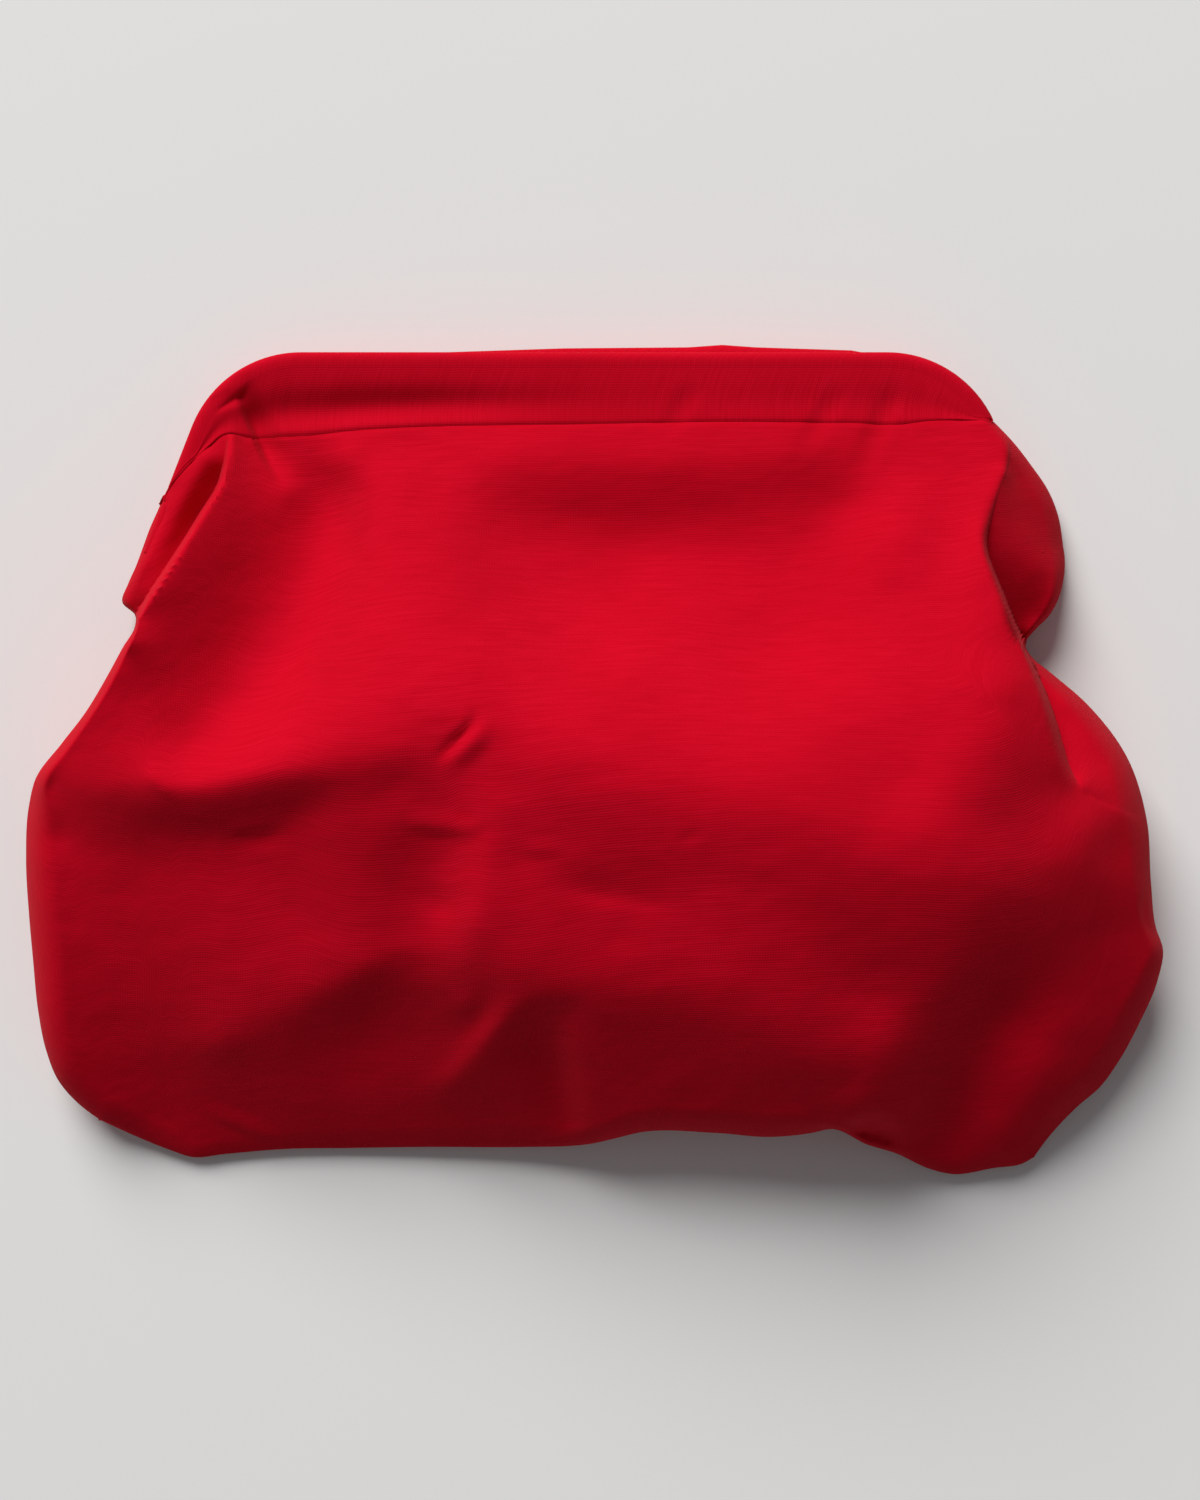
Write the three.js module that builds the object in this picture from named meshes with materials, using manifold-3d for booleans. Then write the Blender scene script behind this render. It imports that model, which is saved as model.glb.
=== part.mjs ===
// A soft cotton clutch bag on a hidden hinged frame, lying on its back on a table.
// Millimetres. +X runs across the bag, +Y from its bottom fold to its mouth, +Z up off the table.
// The origin is on the table, under the middle of the bag.
import * as THREE from "three";
import { mergeVertices } from "three/addons/utils/BufferGeometryUtils.js";
import Module from "manifold-3d";

const wasm = await Module();
wasm.setup();

// The body of the bag.
const BAG_WIDTH = 320; // across the widest part of the body
const BAG_LENGTH = 235; // from the lowest corner of the bottom fold to the top edge of the casings
const BAG_HEIGHT = 66; // from the table to the crest of the front panel
const SIDE_SEAM_HEIGHT = 20; // height of the seam that joins the two panels, at the sides
const FRONT_EDGE_RADIUS = 13; // radius at which the front panel turns over to that seam
const BACK_EDGE_RADIUS = 26; // the same for the back panel
const FOLD_ROUNDNESS = 8; // radius of the front panel's folds
const SEAM_RISE_WIDTH = 14; // how far from the casing's seam a panel has left the seam's height
const NECK_DROP = 6; // from the hinge axis down to where that seam starts
const NECK_SHARE = 0.12; // share of the side seam over which it climbs from the neck
const PANEL_CLOTH = 1.4; // cotton with its fused interlining
const LINING_CLOTH = 0.8;

// The hinged frame inside the casings.
const HINGE_SPAN = 254; // between the two hinges
const FRAME_RISE = 67; // from the hinge axis to the middle of the top bar
const TOP_SPAN = 208; // between the corners of the top bar, before they are rounded
const CORNER_RADIUS = 30;
const ROD_DIAMETER = 6;
const LUG_REACH = 8; // from the hinge axis to the end of the round rod
const LUG_RADIUS = 4.5;
const LUG_THICKNESS = 2;
const LUG_ROOT = 1.5; // how far a lug runs into the rod
const LUG_ARM_WIDTH = 3; // where it leaves the rod
const RIVET_DIAMETER = 3;
const RIVET_HEAD_DIAMETER = 7;
const RIVET_HEAD_HEIGHT = 1.2;
const RIVET_FACE_DIAMETER = 5.2; // of the flat on top of the head
const WASHER_DIAMETER = 8;
const WASHER_THICKNESS = 0.6;

// The casings that are sewn round the frame.
const CASING_WIDTH = 25; // from the fold over the rod to the seam, along the top bar
const LEG_CASING_WIDTH = 14; // the same along the legs
const CASING_SETBACK = 3; // from the end of the rod to the end of the casing's sleeve
const FLAP_WIDTH = 13; // the flap at each end of a casing that covers the hinge
const FLAP_OVERHANG = 3; // how far it runs past the hinge axis

// Clearances.
const SEWN_GAP = 0.3; // between pieces that are sewn together or lie on each other
const SIDE_SEAM_GAP = 0.5; // between the two panels along their seam, which climbs and falls
const RUNNING_GAP = 0.15; // between the pieces of a hinge
const LEG_EASE = 1.4; // between the panels and the hinge end of a casing, which swings past them

// The body's outline, seen from above, from the left neck round the bottom to the right neck.
// Each point is [share of the half width, share of the depth below the hinge axis, share of the
// side seam's height].
const OUTLINE = [
  [-0.785, 0.075, 1], [-0.856, 0.155, 1], [-0.906, 0.22, 1], [-0.983, 0.323, 1], [-1, 0.45, 1],
  [-0.99, 0.615, 1], [-0.969, 0.77, 0.95], [-0.935, 0.85, 0.88], [-0.871, 0.908, 0.8],
  [-0.709, 0.972, 0.68], [-0.575, 0.96, 0.76], [-0.024, 0.953, 0.85], [0.081, 0.93, 0.9],
  [0.406, 0.925, 0.92], [0.555, 0.972, 0.72], [0.64, 0.999, 0.6], [0.766, 0.979, 0.66],
  [0.829, 0.908, 0.76], [0.958, 0.736, 0.97], [0.999, 0.633, 1], [0.981, 0.525, 1], [0.961, 0.358, 1],
  [0.934, 0.288, 1], [0.884, 0.22, 1], [0.82, 0.145, 1], [0.77, 0.07, 1],
];

// The ridges and hollows that the front panel hangs between. Each point is placed as the outline's
// are, with its height as a share of the bag's.
const FORM = [
  // the swollen middle, which runs up to the right shoulder
  [-0.155, 0.345, 0.95], [0.01, 0.41, 0.99], [0.275, 0.4, 1], [0.46, 0.415, 0.97], [0.56, 0.395, 0.93],
  [0.62, 0.33, 0.91], [0.67, 0.27, 0.87], [0.715, 0.205, 0.81], [0.725, 0.145, 0.765],
  // the creased crest on the left, and its steep foot
  [-0.93, 0.325, 0.62], [-0.785, 0.33, 0.74], [-0.665, 0.32, 0.81], [-0.49, 0.29, 0.89],
  [-0.37, 0.265, 0.92], [-0.25, 0.265, 0.91],
  [-0.92, 0.405, 0.57], [-0.81, 0.41, 0.65], [-0.67, 0.41, 0.71], [-0.5, 0.395, 0.78], [-0.31, 0.32, 0.87],
  // the slope below the casing's seam, with a puff and a sag near it and a soft ridge on the left
  [-0.4, -0.255, 0.33], [0, -0.255, 0.34], [0.4, -0.255, 0.34],
  [-0.11, -0.135, 0.375], [0.185, -0.135, 0.37], [0.44, -0.2, 0.36],
  [-0.285, -0.165, 0.46], [-0.25, 0.045, 0.74], [-0.195, 0.19, 0.91],
  [0.01, 0.01, 0.58], [0.18, 0.01, 0.61], [-0.06, 0.095, 0.71], [0.28, 0.095, 0.74], [0.44, 0.01, 0.65],
  [0.53, -0.095, 0.53], [0.59, 0.01, 0.65], [0.48, 0.18, 0.84], [0.34, 0.245, 0.92], [0.08, 0.245, 0.91],
  // the fold from the left corner of the frame, the hollow beside it and the rise after that
  [-0.66, -0.19, 0.44], [-0.71, -0.075, 0.6], [-0.765, 0.015, 0.66], [-0.78, 0.1, 0.69],
  [-0.84, 0.19, 0.7], [-0.91, 0.3, 0.64],
  [-0.565, -0.19, 0.34], [-0.595, -0.025, 0.52], [-0.665, 0.105, 0.63], [-0.75, 0.245, 0.75],
  [-0.445, -0.2, 0.38], [-0.46, -0.005, 0.6], [-0.53, 0.165, 0.76], [-0.57, 0.24, 0.81],
  // the fold from the right corner of the frame, and the lobe outside it
  [0.68, -0.1, 0.53], [0.71, 0.035, 0.67], [0.745, 0.115, 0.71], [0.79, 0.245, 0.735], [0.85, 0.35, 0.67],
  [0.83, 0.2, 0.48], [0.855, 0.24, 0.53], [0.88, 0.3, 0.59], [0.91, 0.39, 0.56],
  // the lower right
  [0.755, 0.395, 0.79], [0.85, 0.41, 0.7], [0.685, 0.48, 0.82], [0.8, 0.51, 0.68], [0.87, 0.57, 0.58],
  [0.62, 0.545, 0.77], [0.765, 0.65, 0.61], [0.59, 0.665, 0.68], [0.71, 0.71, 0.61], [0.65, 0.8, 0.52],
  [0.81, 0.74, 0.57], [0.77, 0.83, 0.5],
  // the ridge below the pinch, the hollow beside it, and the ridge that leaves it to the lower left
  [-0.175, 0.425, 0.94], [-0.205, 0.555, 0.88], [-0.215, 0.68, 0.765],
  [-0.14, 0.53, 0.87], [-0.19, 0.7, 0.72], [-0.26, 0.78, 0.57],
  [-0.26, 0.52, 0.85], [-0.45, 0.635, 0.68], [-0.585, 0.705, 0.56],
  // the lower left
  [-0.67, 0.55, 0.65], [-0.5, 0.54, 0.72], [-0.36, 0.48, 0.8], [-0.86, 0.72, 0.47], [-0.68, 0.74, 0.54],
  [-0.6, 0.83, 0.41], [-0.46, 0.77, 0.52],
  // the turn to the bottom, and the bottom below it
  [-0.1, 0.655, 0.88], [0.145, 0.66, 0.89], [0.395, 0.68, 0.83],
  [-0.05, 0.75, 0.7], [0.18, 0.78, 0.67], [0.39, 0.82, 0.58], [0.51, 0.75, 0.68], [-0.11, 0.83, 0.48],
  [-0.2, 0.86, 0.41],
  // beside the side seam, from the left round the bottom to the right
  [-0.94, 0.54, 0.56], [-0.93, 0.71, 0.5], [-0.91, 0.81, 0.44], [-0.84, 0.89, 0.34], [-0.71, 0.93, 0.29],
  [-0.55, 0.92, 0.33], [-0.31, 0.91, 0.34], [-0.04, 0.9, 0.39], [0.08, 0.88, 0.44], [0.21, 0.88, 0.45],
  [0.36, 0.88, 0.44], [0.48, 0.92, 0.36], [0.63, 0.97, 0.27], [0.74, 0.95, 0.3], [0.79, 0.88, 0.38],
  [0.87, 0.81, 0.44], [0.91, 0.72, 0.47], [0.95, 0.62, 0.47], [0.93, 0.49, 0.52],
];

// How finely the pieces are faceted.
const ROUND_SIDES = 10;
const CORNER_STEPS = 6;
const LEG_STEPS = 5;
const ACROSS_STEPS = 36;
const ACROSS_CROWDING = 0.6; // 0 spaces a panel's columns evenly, 1 crowds them at the sides
const SIDE_STEPS = 18;
const SIDE_CROWDING = 1.25; // 1 spaces a panel's rows evenly, more crowds them at the bottom
const CORNER_SHARE = 0.255; // share of the side seam at which the bottom fold starts, at each end
const OUTLINE_STEPS = 160;
const SMALL_SIDES = 14;

// Places worked out from the sizes.
const ROD_RADIUS = ROD_DIAMETER / 2;
const BORE_RADIUS = (ROD_RADIUS + SEWN_GAP) / Math.cos(Math.PI / ROUND_SIDES);
const CASING_RADIUS = BORE_RADIUS + PANEL_CLOTH;
const HALF_WIDTH = BAG_WIDTH / 2;
const TOP_Y = BAG_LENGTH / 2;
const BOTTOM_Y = -BAG_LENGTH / 2;
const BAR_Y = TOP_Y - CASING_RADIUS;
const HINGE_Y = BAR_Y - FRAME_RISE;
const HINGE_X = HINGE_SPAN / 2;
const BODY_DEPTH = HINGE_Y - BOTTOM_Y;
const SEAM_Y = TOP_Y - CASING_WIDTH;
const BACK_ROD_Z = CASING_RADIUS;
const FRONT_ROD_Z = 3 * CASING_RADIUS + SEWN_GAP;
const HINGE_Z = (BACK_ROD_Z + FRONT_ROD_Z) / 2;
const FRONT_SEAM_Z = FRONT_ROD_Z + PANEL_CLOTH;
const BACK_SEAM_Z = BACK_ROD_Z - PANEL_CLOTH;
const LUG_INNER_X = WASHER_THICKNESS / 2 + RUNNING_GAP; // from the middle of a hinge
const LUG_OUTER_X = LUG_INNER_X + LUG_THICKNESS;

const point = (x, y, z) => new THREE.Vector3(x, y, z);
const smooth = (t) => THREE.MathUtils.smoothstep(t, 0, 1);
const onBody = ([across, down]) => new THREE.Vector2(across * HALF_WIDTH, HINGE_Y - down * BODY_DEPTH);

// The right half of the frame, seen from above: the top bar turns round its corner into a leg that
// runs down to the hinge. The casing's seam runs along the bar and down the leg, at a set reach from
// the rod's middle.
const legFoot = new THREE.Vector2(HINGE_X, HINGE_Y + LUG_REACH);
const turn = Math.atan2(BAR_Y - legFoot.y, legFoot.x - TOP_SPAN / 2);
const legAngle = Math.PI / 2 - turn; // the leg's outward direction
const cornerX = TOP_SPAN / 2 - CORNER_RADIUS * Math.tan(turn / 2);
const cornerY = BAR_Y - CORNER_RADIUS;
const legReach = LEG_CASING_WIDTH - CASING_RADIUS;
const inwards = new THREE.Vector2(-Math.cos(legAngle), -Math.sin(legAngle));
const seamFoot = legFoot.clone().addScaledVector(inwards, legReach);
const seamCornerX = seamFoot.x - (SEAM_Y - seamFoot.y) * Math.tan(legAngle);
const seamCorner = new THREE.Vector2(seamCornerX, SEAM_Y);

// The stops along the whole frame, from the left hinge to the right one: each has its place, its
// outward direction and how far the seam is from it. setback shortens both legs.
function frameStops(setback) {
  const half = [];
  const bend = Math.atan2(seamCorner.y - cornerY, seamCorner.x - cornerX);
  const angles = Array.from({ length: CORNER_STEPS }, (_, i) => {
    return THREE.MathUtils.lerp(Math.PI / 2, bend, i / (CORNER_STEPS - 1));
  });
  for (const angle of [...angles, legAngle]) {
    const x = cornerX + CORNER_RADIUS * Math.cos(angle);
    const y = cornerY + CORNER_RADIUS * Math.sin(angle);
    const reach = angle < bend ? legReach : (y - SEAM_Y) / Math.sin(angle);
    half.push({ x, y, angle, reach });
  }
  const x = legFoot.x - setback * Math.sin(legAngle);
  const y = legFoot.y + setback * Math.cos(legAngle);
  half.push({ x, y, angle: legAngle, reach: legReach });
  const mirrored = half.map((stop) => ({ ...stop, x: -stop.x, angle: Math.PI - stop.angle }));
  return [...mirrored.reverse(), ...half];
}

// A place beside the frame's line: reach is counted inwards from the rod's middle.
function besideFrame(stop, reach, z) {
  return point(stop.x - Math.cos(stop.angle) * reach, stop.y - Math.sin(stop.angle) * reach, z);
}

// A closed solid from its corner points and faces. Faces turned inwards are turned out.
function closedGeometry(points, faces) {
  let volume = 0;
  for (const [a, b, c] of faces) {
    volume += points[a].dot(points[b].clone().cross(points[c]));
  }
  const outwards = volume > 0 ? faces : faces.map(([a, b, c]) => [a, c, b]);
  return new THREE.BufferGeometry().setFromPoints(points).setIndex(outwards.flat());
}

function quad(a, b, c, d) {
  return [[a, b, c], [a, c, d]];
}

// A bar: rings of points joined one after another, with flat ends.
function barGeometry(rings) {
  const n = rings[0].length;
  const faces = [];
  for (let i = 0; i + 1 < rings.length; i++) {
    for (let k = 0; k < n; k++) {
      const next = (k + 1) % n;
      faces.push(...quad(i * n + k, i * n + next, (i + 1) * n + next, (i + 1) * n + k));
    }
  }
  const last = (rings.length - 1) * n;
  for (let k = 1; k + 1 < n; k++) {
    faces.push([0, k + 1, k], [last, last + k, last + k + 1]);
  }
  return closedGeometry(rings.flat(), faces);
}

// A sleeve: outer and inner rings with as many points each, open at both ends.
function sleeveGeometry(outer, inner) {
  const n = outer[0].length;
  const count = outer.length;
  const shift = count * n;
  const faces = [];
  for (let k = 0; k < n; k++) {
    const next = (k + 1) % n;
    for (let i = 0; i + 1 < count; i++) {
      const [a, b, c, d] = [i * n + k, i * n + next, (i + 1) * n + next, (i + 1) * n + k];
      faces.push(...quad(a, b, c, d), ...quad(shift + a, shift + d, shift + c, shift + b));
    }
    const end = (count - 1) * n;
    faces.push(...quad(k, shift + k, shift + next, next));
    faces.push(...quad(end + k, end + next, shift + end + next, shift + end + k));
  }
  return closedGeometry([...outer.flat(), ...inner.flat()], faces);
}

// A cloth panel: a grid of points for each of its two sides, with the rim closed.
function clothGeometry(outer, inner) {
  const rows = outer.length;
  const n = outer[0].length;
  const shift = rows * n;
  const at = (row, k) => row * n + k;
  const faces = [];
  for (let row = 0; row + 1 < rows; row++) {
    for (let k = 0; k + 1 < n; k++) {
      const [a, b, c, d] = [at(row, k), at(row, k + 1), at(row + 1, k + 1), at(row + 1, k)];
      faces.push(...quad(a, b, c, d), ...quad(shift + a, shift + d, shift + c, shift + b));
    }
    faces.push(...quad(at(row, 0), at(row + 1, 0), shift + at(row + 1, 0), shift + at(row, 0)));
    const end = n - 1;
    faces.push(...quad(at(row + 1, end), at(row, end), shift + at(row, end), shift + at(row + 1, end)));
  }
  for (let k = 0; k + 1 < n; k++) {
    faces.push(...quad(at(0, k + 1), at(0, k), shift + at(0, k), shift + at(0, k + 1)));
    const last = rows - 1;
    faces.push(...quad(at(last, k), at(last, k + 1), shift + at(last, k + 1), shift + at(last, k)));
  }
  return closedGeometry([...outer.flat(), ...inner.flat()], faces);
}

// manifold-3d joins and cuts what the three.js geometries shape.
function solidOf(geometry) {
  const bare = geometry.clone();
  bare.deleteAttribute("normal");
  bare.deleteAttribute("uv");
  const merged = mergeVertices(bare, 1e-4);
  return new wasm.Manifold(
    new wasm.Mesh({
      numProp: 3,
      vertProperties: merged.attributes.position.array,
      triVerts: new Uint32Array(merged.index.array),
    }),
  );
}

function geometryOf(solid) {
  const mesh = solid.getMesh();
  return new THREE.BufferGeometry()
    .setAttribute("position", new THREE.BufferAttribute(mesh.vertProperties, 3))
    .setIndex(new THREE.BufferAttribute(mesh.triVerts, 1));
}

// The frame: a bent rod with a flattened lug at each end. side is 1 for the front half, -1 for the back.
function frameHalf(rodZ, side) {
  const rings = frameStops(0).map((stop) =>
    Array.from({ length: ROUND_SIDES }, (_, k) => {
      const a = (2 * Math.PI * k) / ROUND_SIDES;
      return besideFrame(stop, ROD_RADIUS * Math.cos(a), rodZ + ROD_RADIUS * Math.sin(a));
    }),
  );
  const rod = solidOf(barGeometry(rings));
  return geometryOf(rod.add(lug(rodZ, side, 1)).add(lug(rodZ, side, -1)));
}

// One lug, drawn flat on the plane of the hinge and moved to its end of the frame.
function lug(rodZ, side, end) {
  const rise = rodZ - HINGE_Z;
  const armHalf = LUG_ARM_WIDTH / 2;
  const lead = Math.atan2(rise, LUG_REACH);
  const plate = new THREE.Shape()
    .moveTo(LUG_REACH + LUG_ROOT, rise + armHalf)
    .lineTo(LUG_REACH, rise + armHalf)
    .absarc(0, 0, LUG_RADIUS, lead + Math.PI / 2, lead - Math.PI / 2, false)
    .lineTo(LUG_REACH, rise - armHalf)
    .lineTo(LUG_REACH + LUG_ROOT, rise - armHalf)
    .closePath();
  const holeRadius = RIVET_DIAMETER / 2 + RUNNING_GAP;
  plate.holes.push(new THREE.Path().absarc(0, 0, holeRadius, 0, 2 * Math.PI, false));
  const geometry = new THREE.ExtrudeGeometry(plate, {
    depth: LUG_THICKNESS,
    bevelEnabled: false,
    curveSegments: SMALL_SIDES,
  });
  geometry.rotateX(Math.PI / 2).rotateZ(Math.PI / 2); // the plate's x runs along +Y, its y along +Z
  const outside = side * end > 0;
  const nearFace = outside ? LUG_INNER_X : -LUG_OUTER_X;
  geometry.translate(end * HINGE_X + nearFace, HINGE_Y, HINGE_Z);
  return solidOf(geometry);
}

// A casing: cloth folded round the rod, with its two edges sewn together along the seam.
// side is 1 for the front casing, whose end flaps are on top, and -1 for the back one.
function casing(rodZ, side) {
  const stops = frameStops(CASING_SETBACK);
  const around = ROUND_SIDES - 2;
  const outer = stops.map((stop) => {
    const ring = [];
    for (let k = 0; k < around; k++) {
      const a = Math.PI / 2 + (Math.PI * k) / (around - 1);
      ring.push(besideFrame(stop, CASING_RADIUS * Math.cos(a), rodZ + CASING_RADIUS * Math.sin(a)));
    }
    ring.push(besideFrame(stop, stop.reach, rodZ - PANEL_CLOTH));
    ring.push(besideFrame(stop, stop.reach, rodZ + PANEL_CLOTH));
    return ring;
  });
  const inner = stops.map((stop) =>
    Array.from({ length: ROUND_SIDES }, (_, k) => {
      const a = Math.PI / 2 + (2 * Math.PI * k) / ROUND_SIDES;
      return besideFrame(stop, BORE_RADIUS * Math.cos(a), rodZ + BORE_RADIUS * Math.sin(a));
    }),
  );
  const sleeve = solidOf(sleeveGeometry(outer, inner));
  return geometryOf(sleeve.add(flap(rodZ, side, 1)).add(flap(rodZ, side, -1)));
}

// The flap at one end of a casing, flat over the hinge with a round end.
function flap(rodZ, side, end) {
  const half = FLAP_WIDTH / 2;
  const shape = new THREE.Shape()
    .moveTo(half, LUG_REACH + CASING_SETBACK + ROD_RADIUS)
    .lineTo(-half, LUG_REACH + CASING_SETBACK + ROD_RADIUS)
    .absarc(0, half - FLAP_OVERHANG, half, Math.PI, 2 * Math.PI, false)
    .closePath();
  const options = { depth: PANEL_CLOTH, bevelEnabled: false, curveSegments: SMALL_SIDES / 2 };
  const geometry = new THREE.ExtrudeGeometry(shape, options);
  const lower = side > 0 ? rodZ + CASING_RADIUS - PANEL_CLOTH : rodZ - CASING_RADIUS;
  return solidOf(geometry.translate(end * HINGE_X, HINGE_Y, lower));
}

// The edge of a panel: the casing's seam runs over the top and down both legs, and the side seam
// runs from the foot of one leg, past the neck and round the bottom to the other foot.
function casingEdge(seamZ) {
  const half = [
    point(seamCorner.x - SEWN_GAP, seamCorner.y - SEWN_GAP, seamZ),
    point(seamFoot.x - LEG_EASE, seamFoot.y, seamZ),
  ];
  const mirrored = half.map((place) => point(-place.x, place.y, seamZ));
  return [...mirrored.reverse(), ...half];
}

const neckX = seamFoot.x - LEG_EASE;
const neck = (end) => point(end * neckX, HINGE_Y - NECK_DROP, HINGE_Z);

function sideCurve() {
  const places = OUTLINE.map(([across, down, height]) => {
    const { x, y } = onBody([across, down]);
    return point(x, y, height * SIDE_SEAM_HEIGHT);
  });
  const ends = [-1, 1].map((end) => neck(end).setZ(SIDE_SEAM_HEIGHT));
  return new THREE.CatmullRomCurve3([ends[0], ...places, ends[1]], false, "centripetal");
}

function sideEdge(feet, rimShift) {
  const places = sideCurve().getSpacedPoints(OUTLINE_STEPS);
  places.forEach((place, i) => {
    const u = i / OUTLINE_STEPS;
    const climb = smooth(u / NECK_SHARE) * smooth((1 - u) / NECK_SHARE);
    place.z = THREE.MathUtils.lerp(HINGE_Z, place.z, climb) + rimShift;
  });
  return [feet[0], ...places, feet[1]];
}

// The nearest place on a line of points, seen from above: how far off it is, and its height.
function nearestOn(points, place) {
  let nearest = { distance: Infinity, z: 0 };
  for (let i = 0; i + 1 < points.length; i++) {
    const along = points[i + 1].clone().sub(points[i]).setZ(0);
    const from = place.clone().sub(points[i]).setZ(0);
    const t = THREE.MathUtils.clamp(from.dot(along) / along.lengthSq(), 0, 1);
    const distance = from.addScaledVector(along, -t).length();
    if (distance < nearest.distance) {
      nearest = { distance, z: THREE.MathUtils.lerp(points[i].z, points[i + 1].z, t) };
    }
  }
  return nearest;
}

// Solves a set of linear equations. Each row holds an equation's factors and then its sum.
function solve(rows) {
  const n = rows.length;
  for (let i = 0; i < n; i++) {
    const below = rows.slice(i).map((row) => Math.abs(row[i]));
    const largest = i + below.indexOf(Math.max(...below));
    [rows[i], rows[largest]] = [rows[largest], rows[i]];
    for (let other = 0; other < n; other++) {
      const factor = other === i ? 0 : rows[other][i] / rows[i][i];
      rows[other] = rows[other].map((value, k) => value - factor * rows[i][k]);
    }
  }
  return rows.map((row, i) => row[n] / row[i]);
}

// A surface through points at set heights: it hangs between them as a tent does between its poles,
// with a round of FOLD_ROUNDNESS over each.
function tent(points) {
  const reach = (from, to) => Math.hypot(from.x - to.x, from.y - to.y, FOLD_ROUNDNESS);
  const rows = points.map((from) => [...points.map((to) => reach(from, to)), 1, from.z]);
  rows.push([...points.map(() => 1), 0, 0]);
  const weights = solve(rows);
  const base = weights[points.length];
  return (place) => points.reduce((height, pole, i) => height + weights[i] * reach(place, pole), base);
}

// Whether a place in a panel's rows lies on the side seam.
function onSideSeam(row, column) {
  return row === 0 || (row <= SIDE_STEPS + 1 && (column === 0 || column === ACROSS_STEPS));
}

// Places on the outer side of a panel, in rows that run across the bag from the bottom fold up to
// the casing's seam. heightAt gives the height far from the edges.
function panelRows(heightAt, seamZ, rimShift, edgeRadius) {
  const curve = sideCurve();
  const sewn = casingEdge(seamZ);
  const side = sideEdge([sewn[0], sewn[3]], rimShift);
  const sideRows = (end) => {
    const body = Array.from({ length: SIDE_STEPS + 1 }, (_, i) => {
      const share = CORNER_SHARE * (1 - (i / SIDE_STEPS) ** SIDE_CROWDING);
      return curve.getPointAt(end < 0 ? share : 1 - share);
    });
    const [foot, corner] = end < 0 ? [sewn[0], sewn[1]] : [sewn[3], sewn[2]];
    const leg = Array.from({ length: LEG_STEPS + 1 }, (_, i) => foot.clone().lerp(corner, i / LEG_STEPS));
    return [...body, neck(end).lerp(foot, 0.5), ...leg];
  };
  const left = sideRows(-1);
  const right = sideRows(1);
  const last = left.length - 1;
  return left.map((from, i) => {
    const v = (from.y - left[0].y) / (left[last].y - left[0].y);
    return Array.from({ length: ACROSS_STEPS + 1 }, (_, k) => {
      const t = k / ACROSS_STEPS;
      const u = THREE.MathUtils.lerp(t, (1 - Math.cos(Math.PI * t)) / 2, ACROSS_CROWDING);
      const bottom = curve.getPointAt(THREE.MathUtils.lerp(CORNER_SHARE, 1 - CORNER_SHARE, u));
      const top = left[last].clone().lerp(right[last], u);
      const flat = left[0].clone().lerp(right[0], u).lerp(top, v);
      const place = from.clone().lerp(right[i], u).add(bottom.lerp(top, v)).sub(flat);
      const rim = nearestOn(side, place);
      const seam = nearestOn(sewn, place);
      return place.setZ(onSideSeam(i, k) ? rim.z : panelHeight(rim, seam, heightAt(place), edgeRadius));
    });
  });
}

// A panel comes down to the side seam in a round, and to the casing's seam softly.
function panelHeight(rim, seam, height, edgeRadius) {
  const free = THREE.MathUtils.lerp(seam.z, height, smooth(seam.distance / SEAM_RISE_WIDTH));
  const edge = Math.sqrt(1 - Math.max(0, 1 - rim.distance / edgeRadius) ** 2);
  return THREE.MathUtils.lerp(rim.z, free, edge);
}

function frontRows() {
  const poles = FORM.map(([across, down, height]) => {
    const { x, y } = onBody([across, down]);
    return point(x, y, height * BAG_HEIGHT);
  });
  return panelRows(tent(poles), FRONT_SEAM_Z, SIDE_SEAM_GAP / 2, FRONT_EDGE_RADIUS);
}

function backRows() {
  return panelRows(() => 0, BACK_SEAM_Z, -SIDE_SEAM_GAP / 2, BACK_EDGE_RADIUS);
}

// The same rows moved towards the inside of the bag by a depth: level at the side seam, where the
// two panels meet, and square to the cloth elsewhere. facing is 1 for the front.
function inset(rows, depth, facing) {
  const last = rows.length - 1;
  const end = rows[0].length - 1;
  return rows.map((row, i) =>
    row.map((place, k) => {
      if (onSideSeam(i, k)) {
        const inner = rows[Math.max(i, 1)][THREE.MathUtils.clamp(k, 1, end - 1)];
        const level = inner.clone().sub(place).setZ(0).normalize();
        return place.clone().addScaledVector(level, depth);
      }
      const up = rows[Math.min(i + 1, last)][k].clone().sub(rows[Math.max(i - 1, 0)][k]);
      const across = row[Math.min(k + 1, end)].clone().sub(row[Math.max(k - 1, 0)]);
      const normal = across.cross(up).multiplyScalar(facing);
      return place.clone().addScaledVector(normal.normalize(), -depth);
    }),
  );
}

function clothPanel(rows, facing, depth, thickness) {
  return clothGeometry(inset(rows, depth, facing), inset(rows, depth + thickness, facing));
}

// A rivet with a head at each end, turned about its own axis and laid along X.
function rivet() {
  const shank = RIVET_DIAMETER / 2;
  const head = RIVET_HEAD_DIAMETER / 2;
  const face = RIVET_FACE_DIAMETER / 2;
  const under = LUG_OUTER_X + RUNNING_GAP;
  const over = under + RIVET_HEAD_HEIGHT;
  const rim = under + RIVET_HEAD_HEIGHT / 3;
  const half = [[shank, under], [head, under], [head, rim], [face, over], [0, over]];
  const other = half.map(([r, y]) => [r, -y]).reverse();
  const profile = [...other, ...half].map(([r, y]) => new THREE.Vector2(r, y));
  return new THREE.LatheGeometry(profile, SMALL_SIDES).rotateZ(-Math.PI / 2);
}

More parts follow.
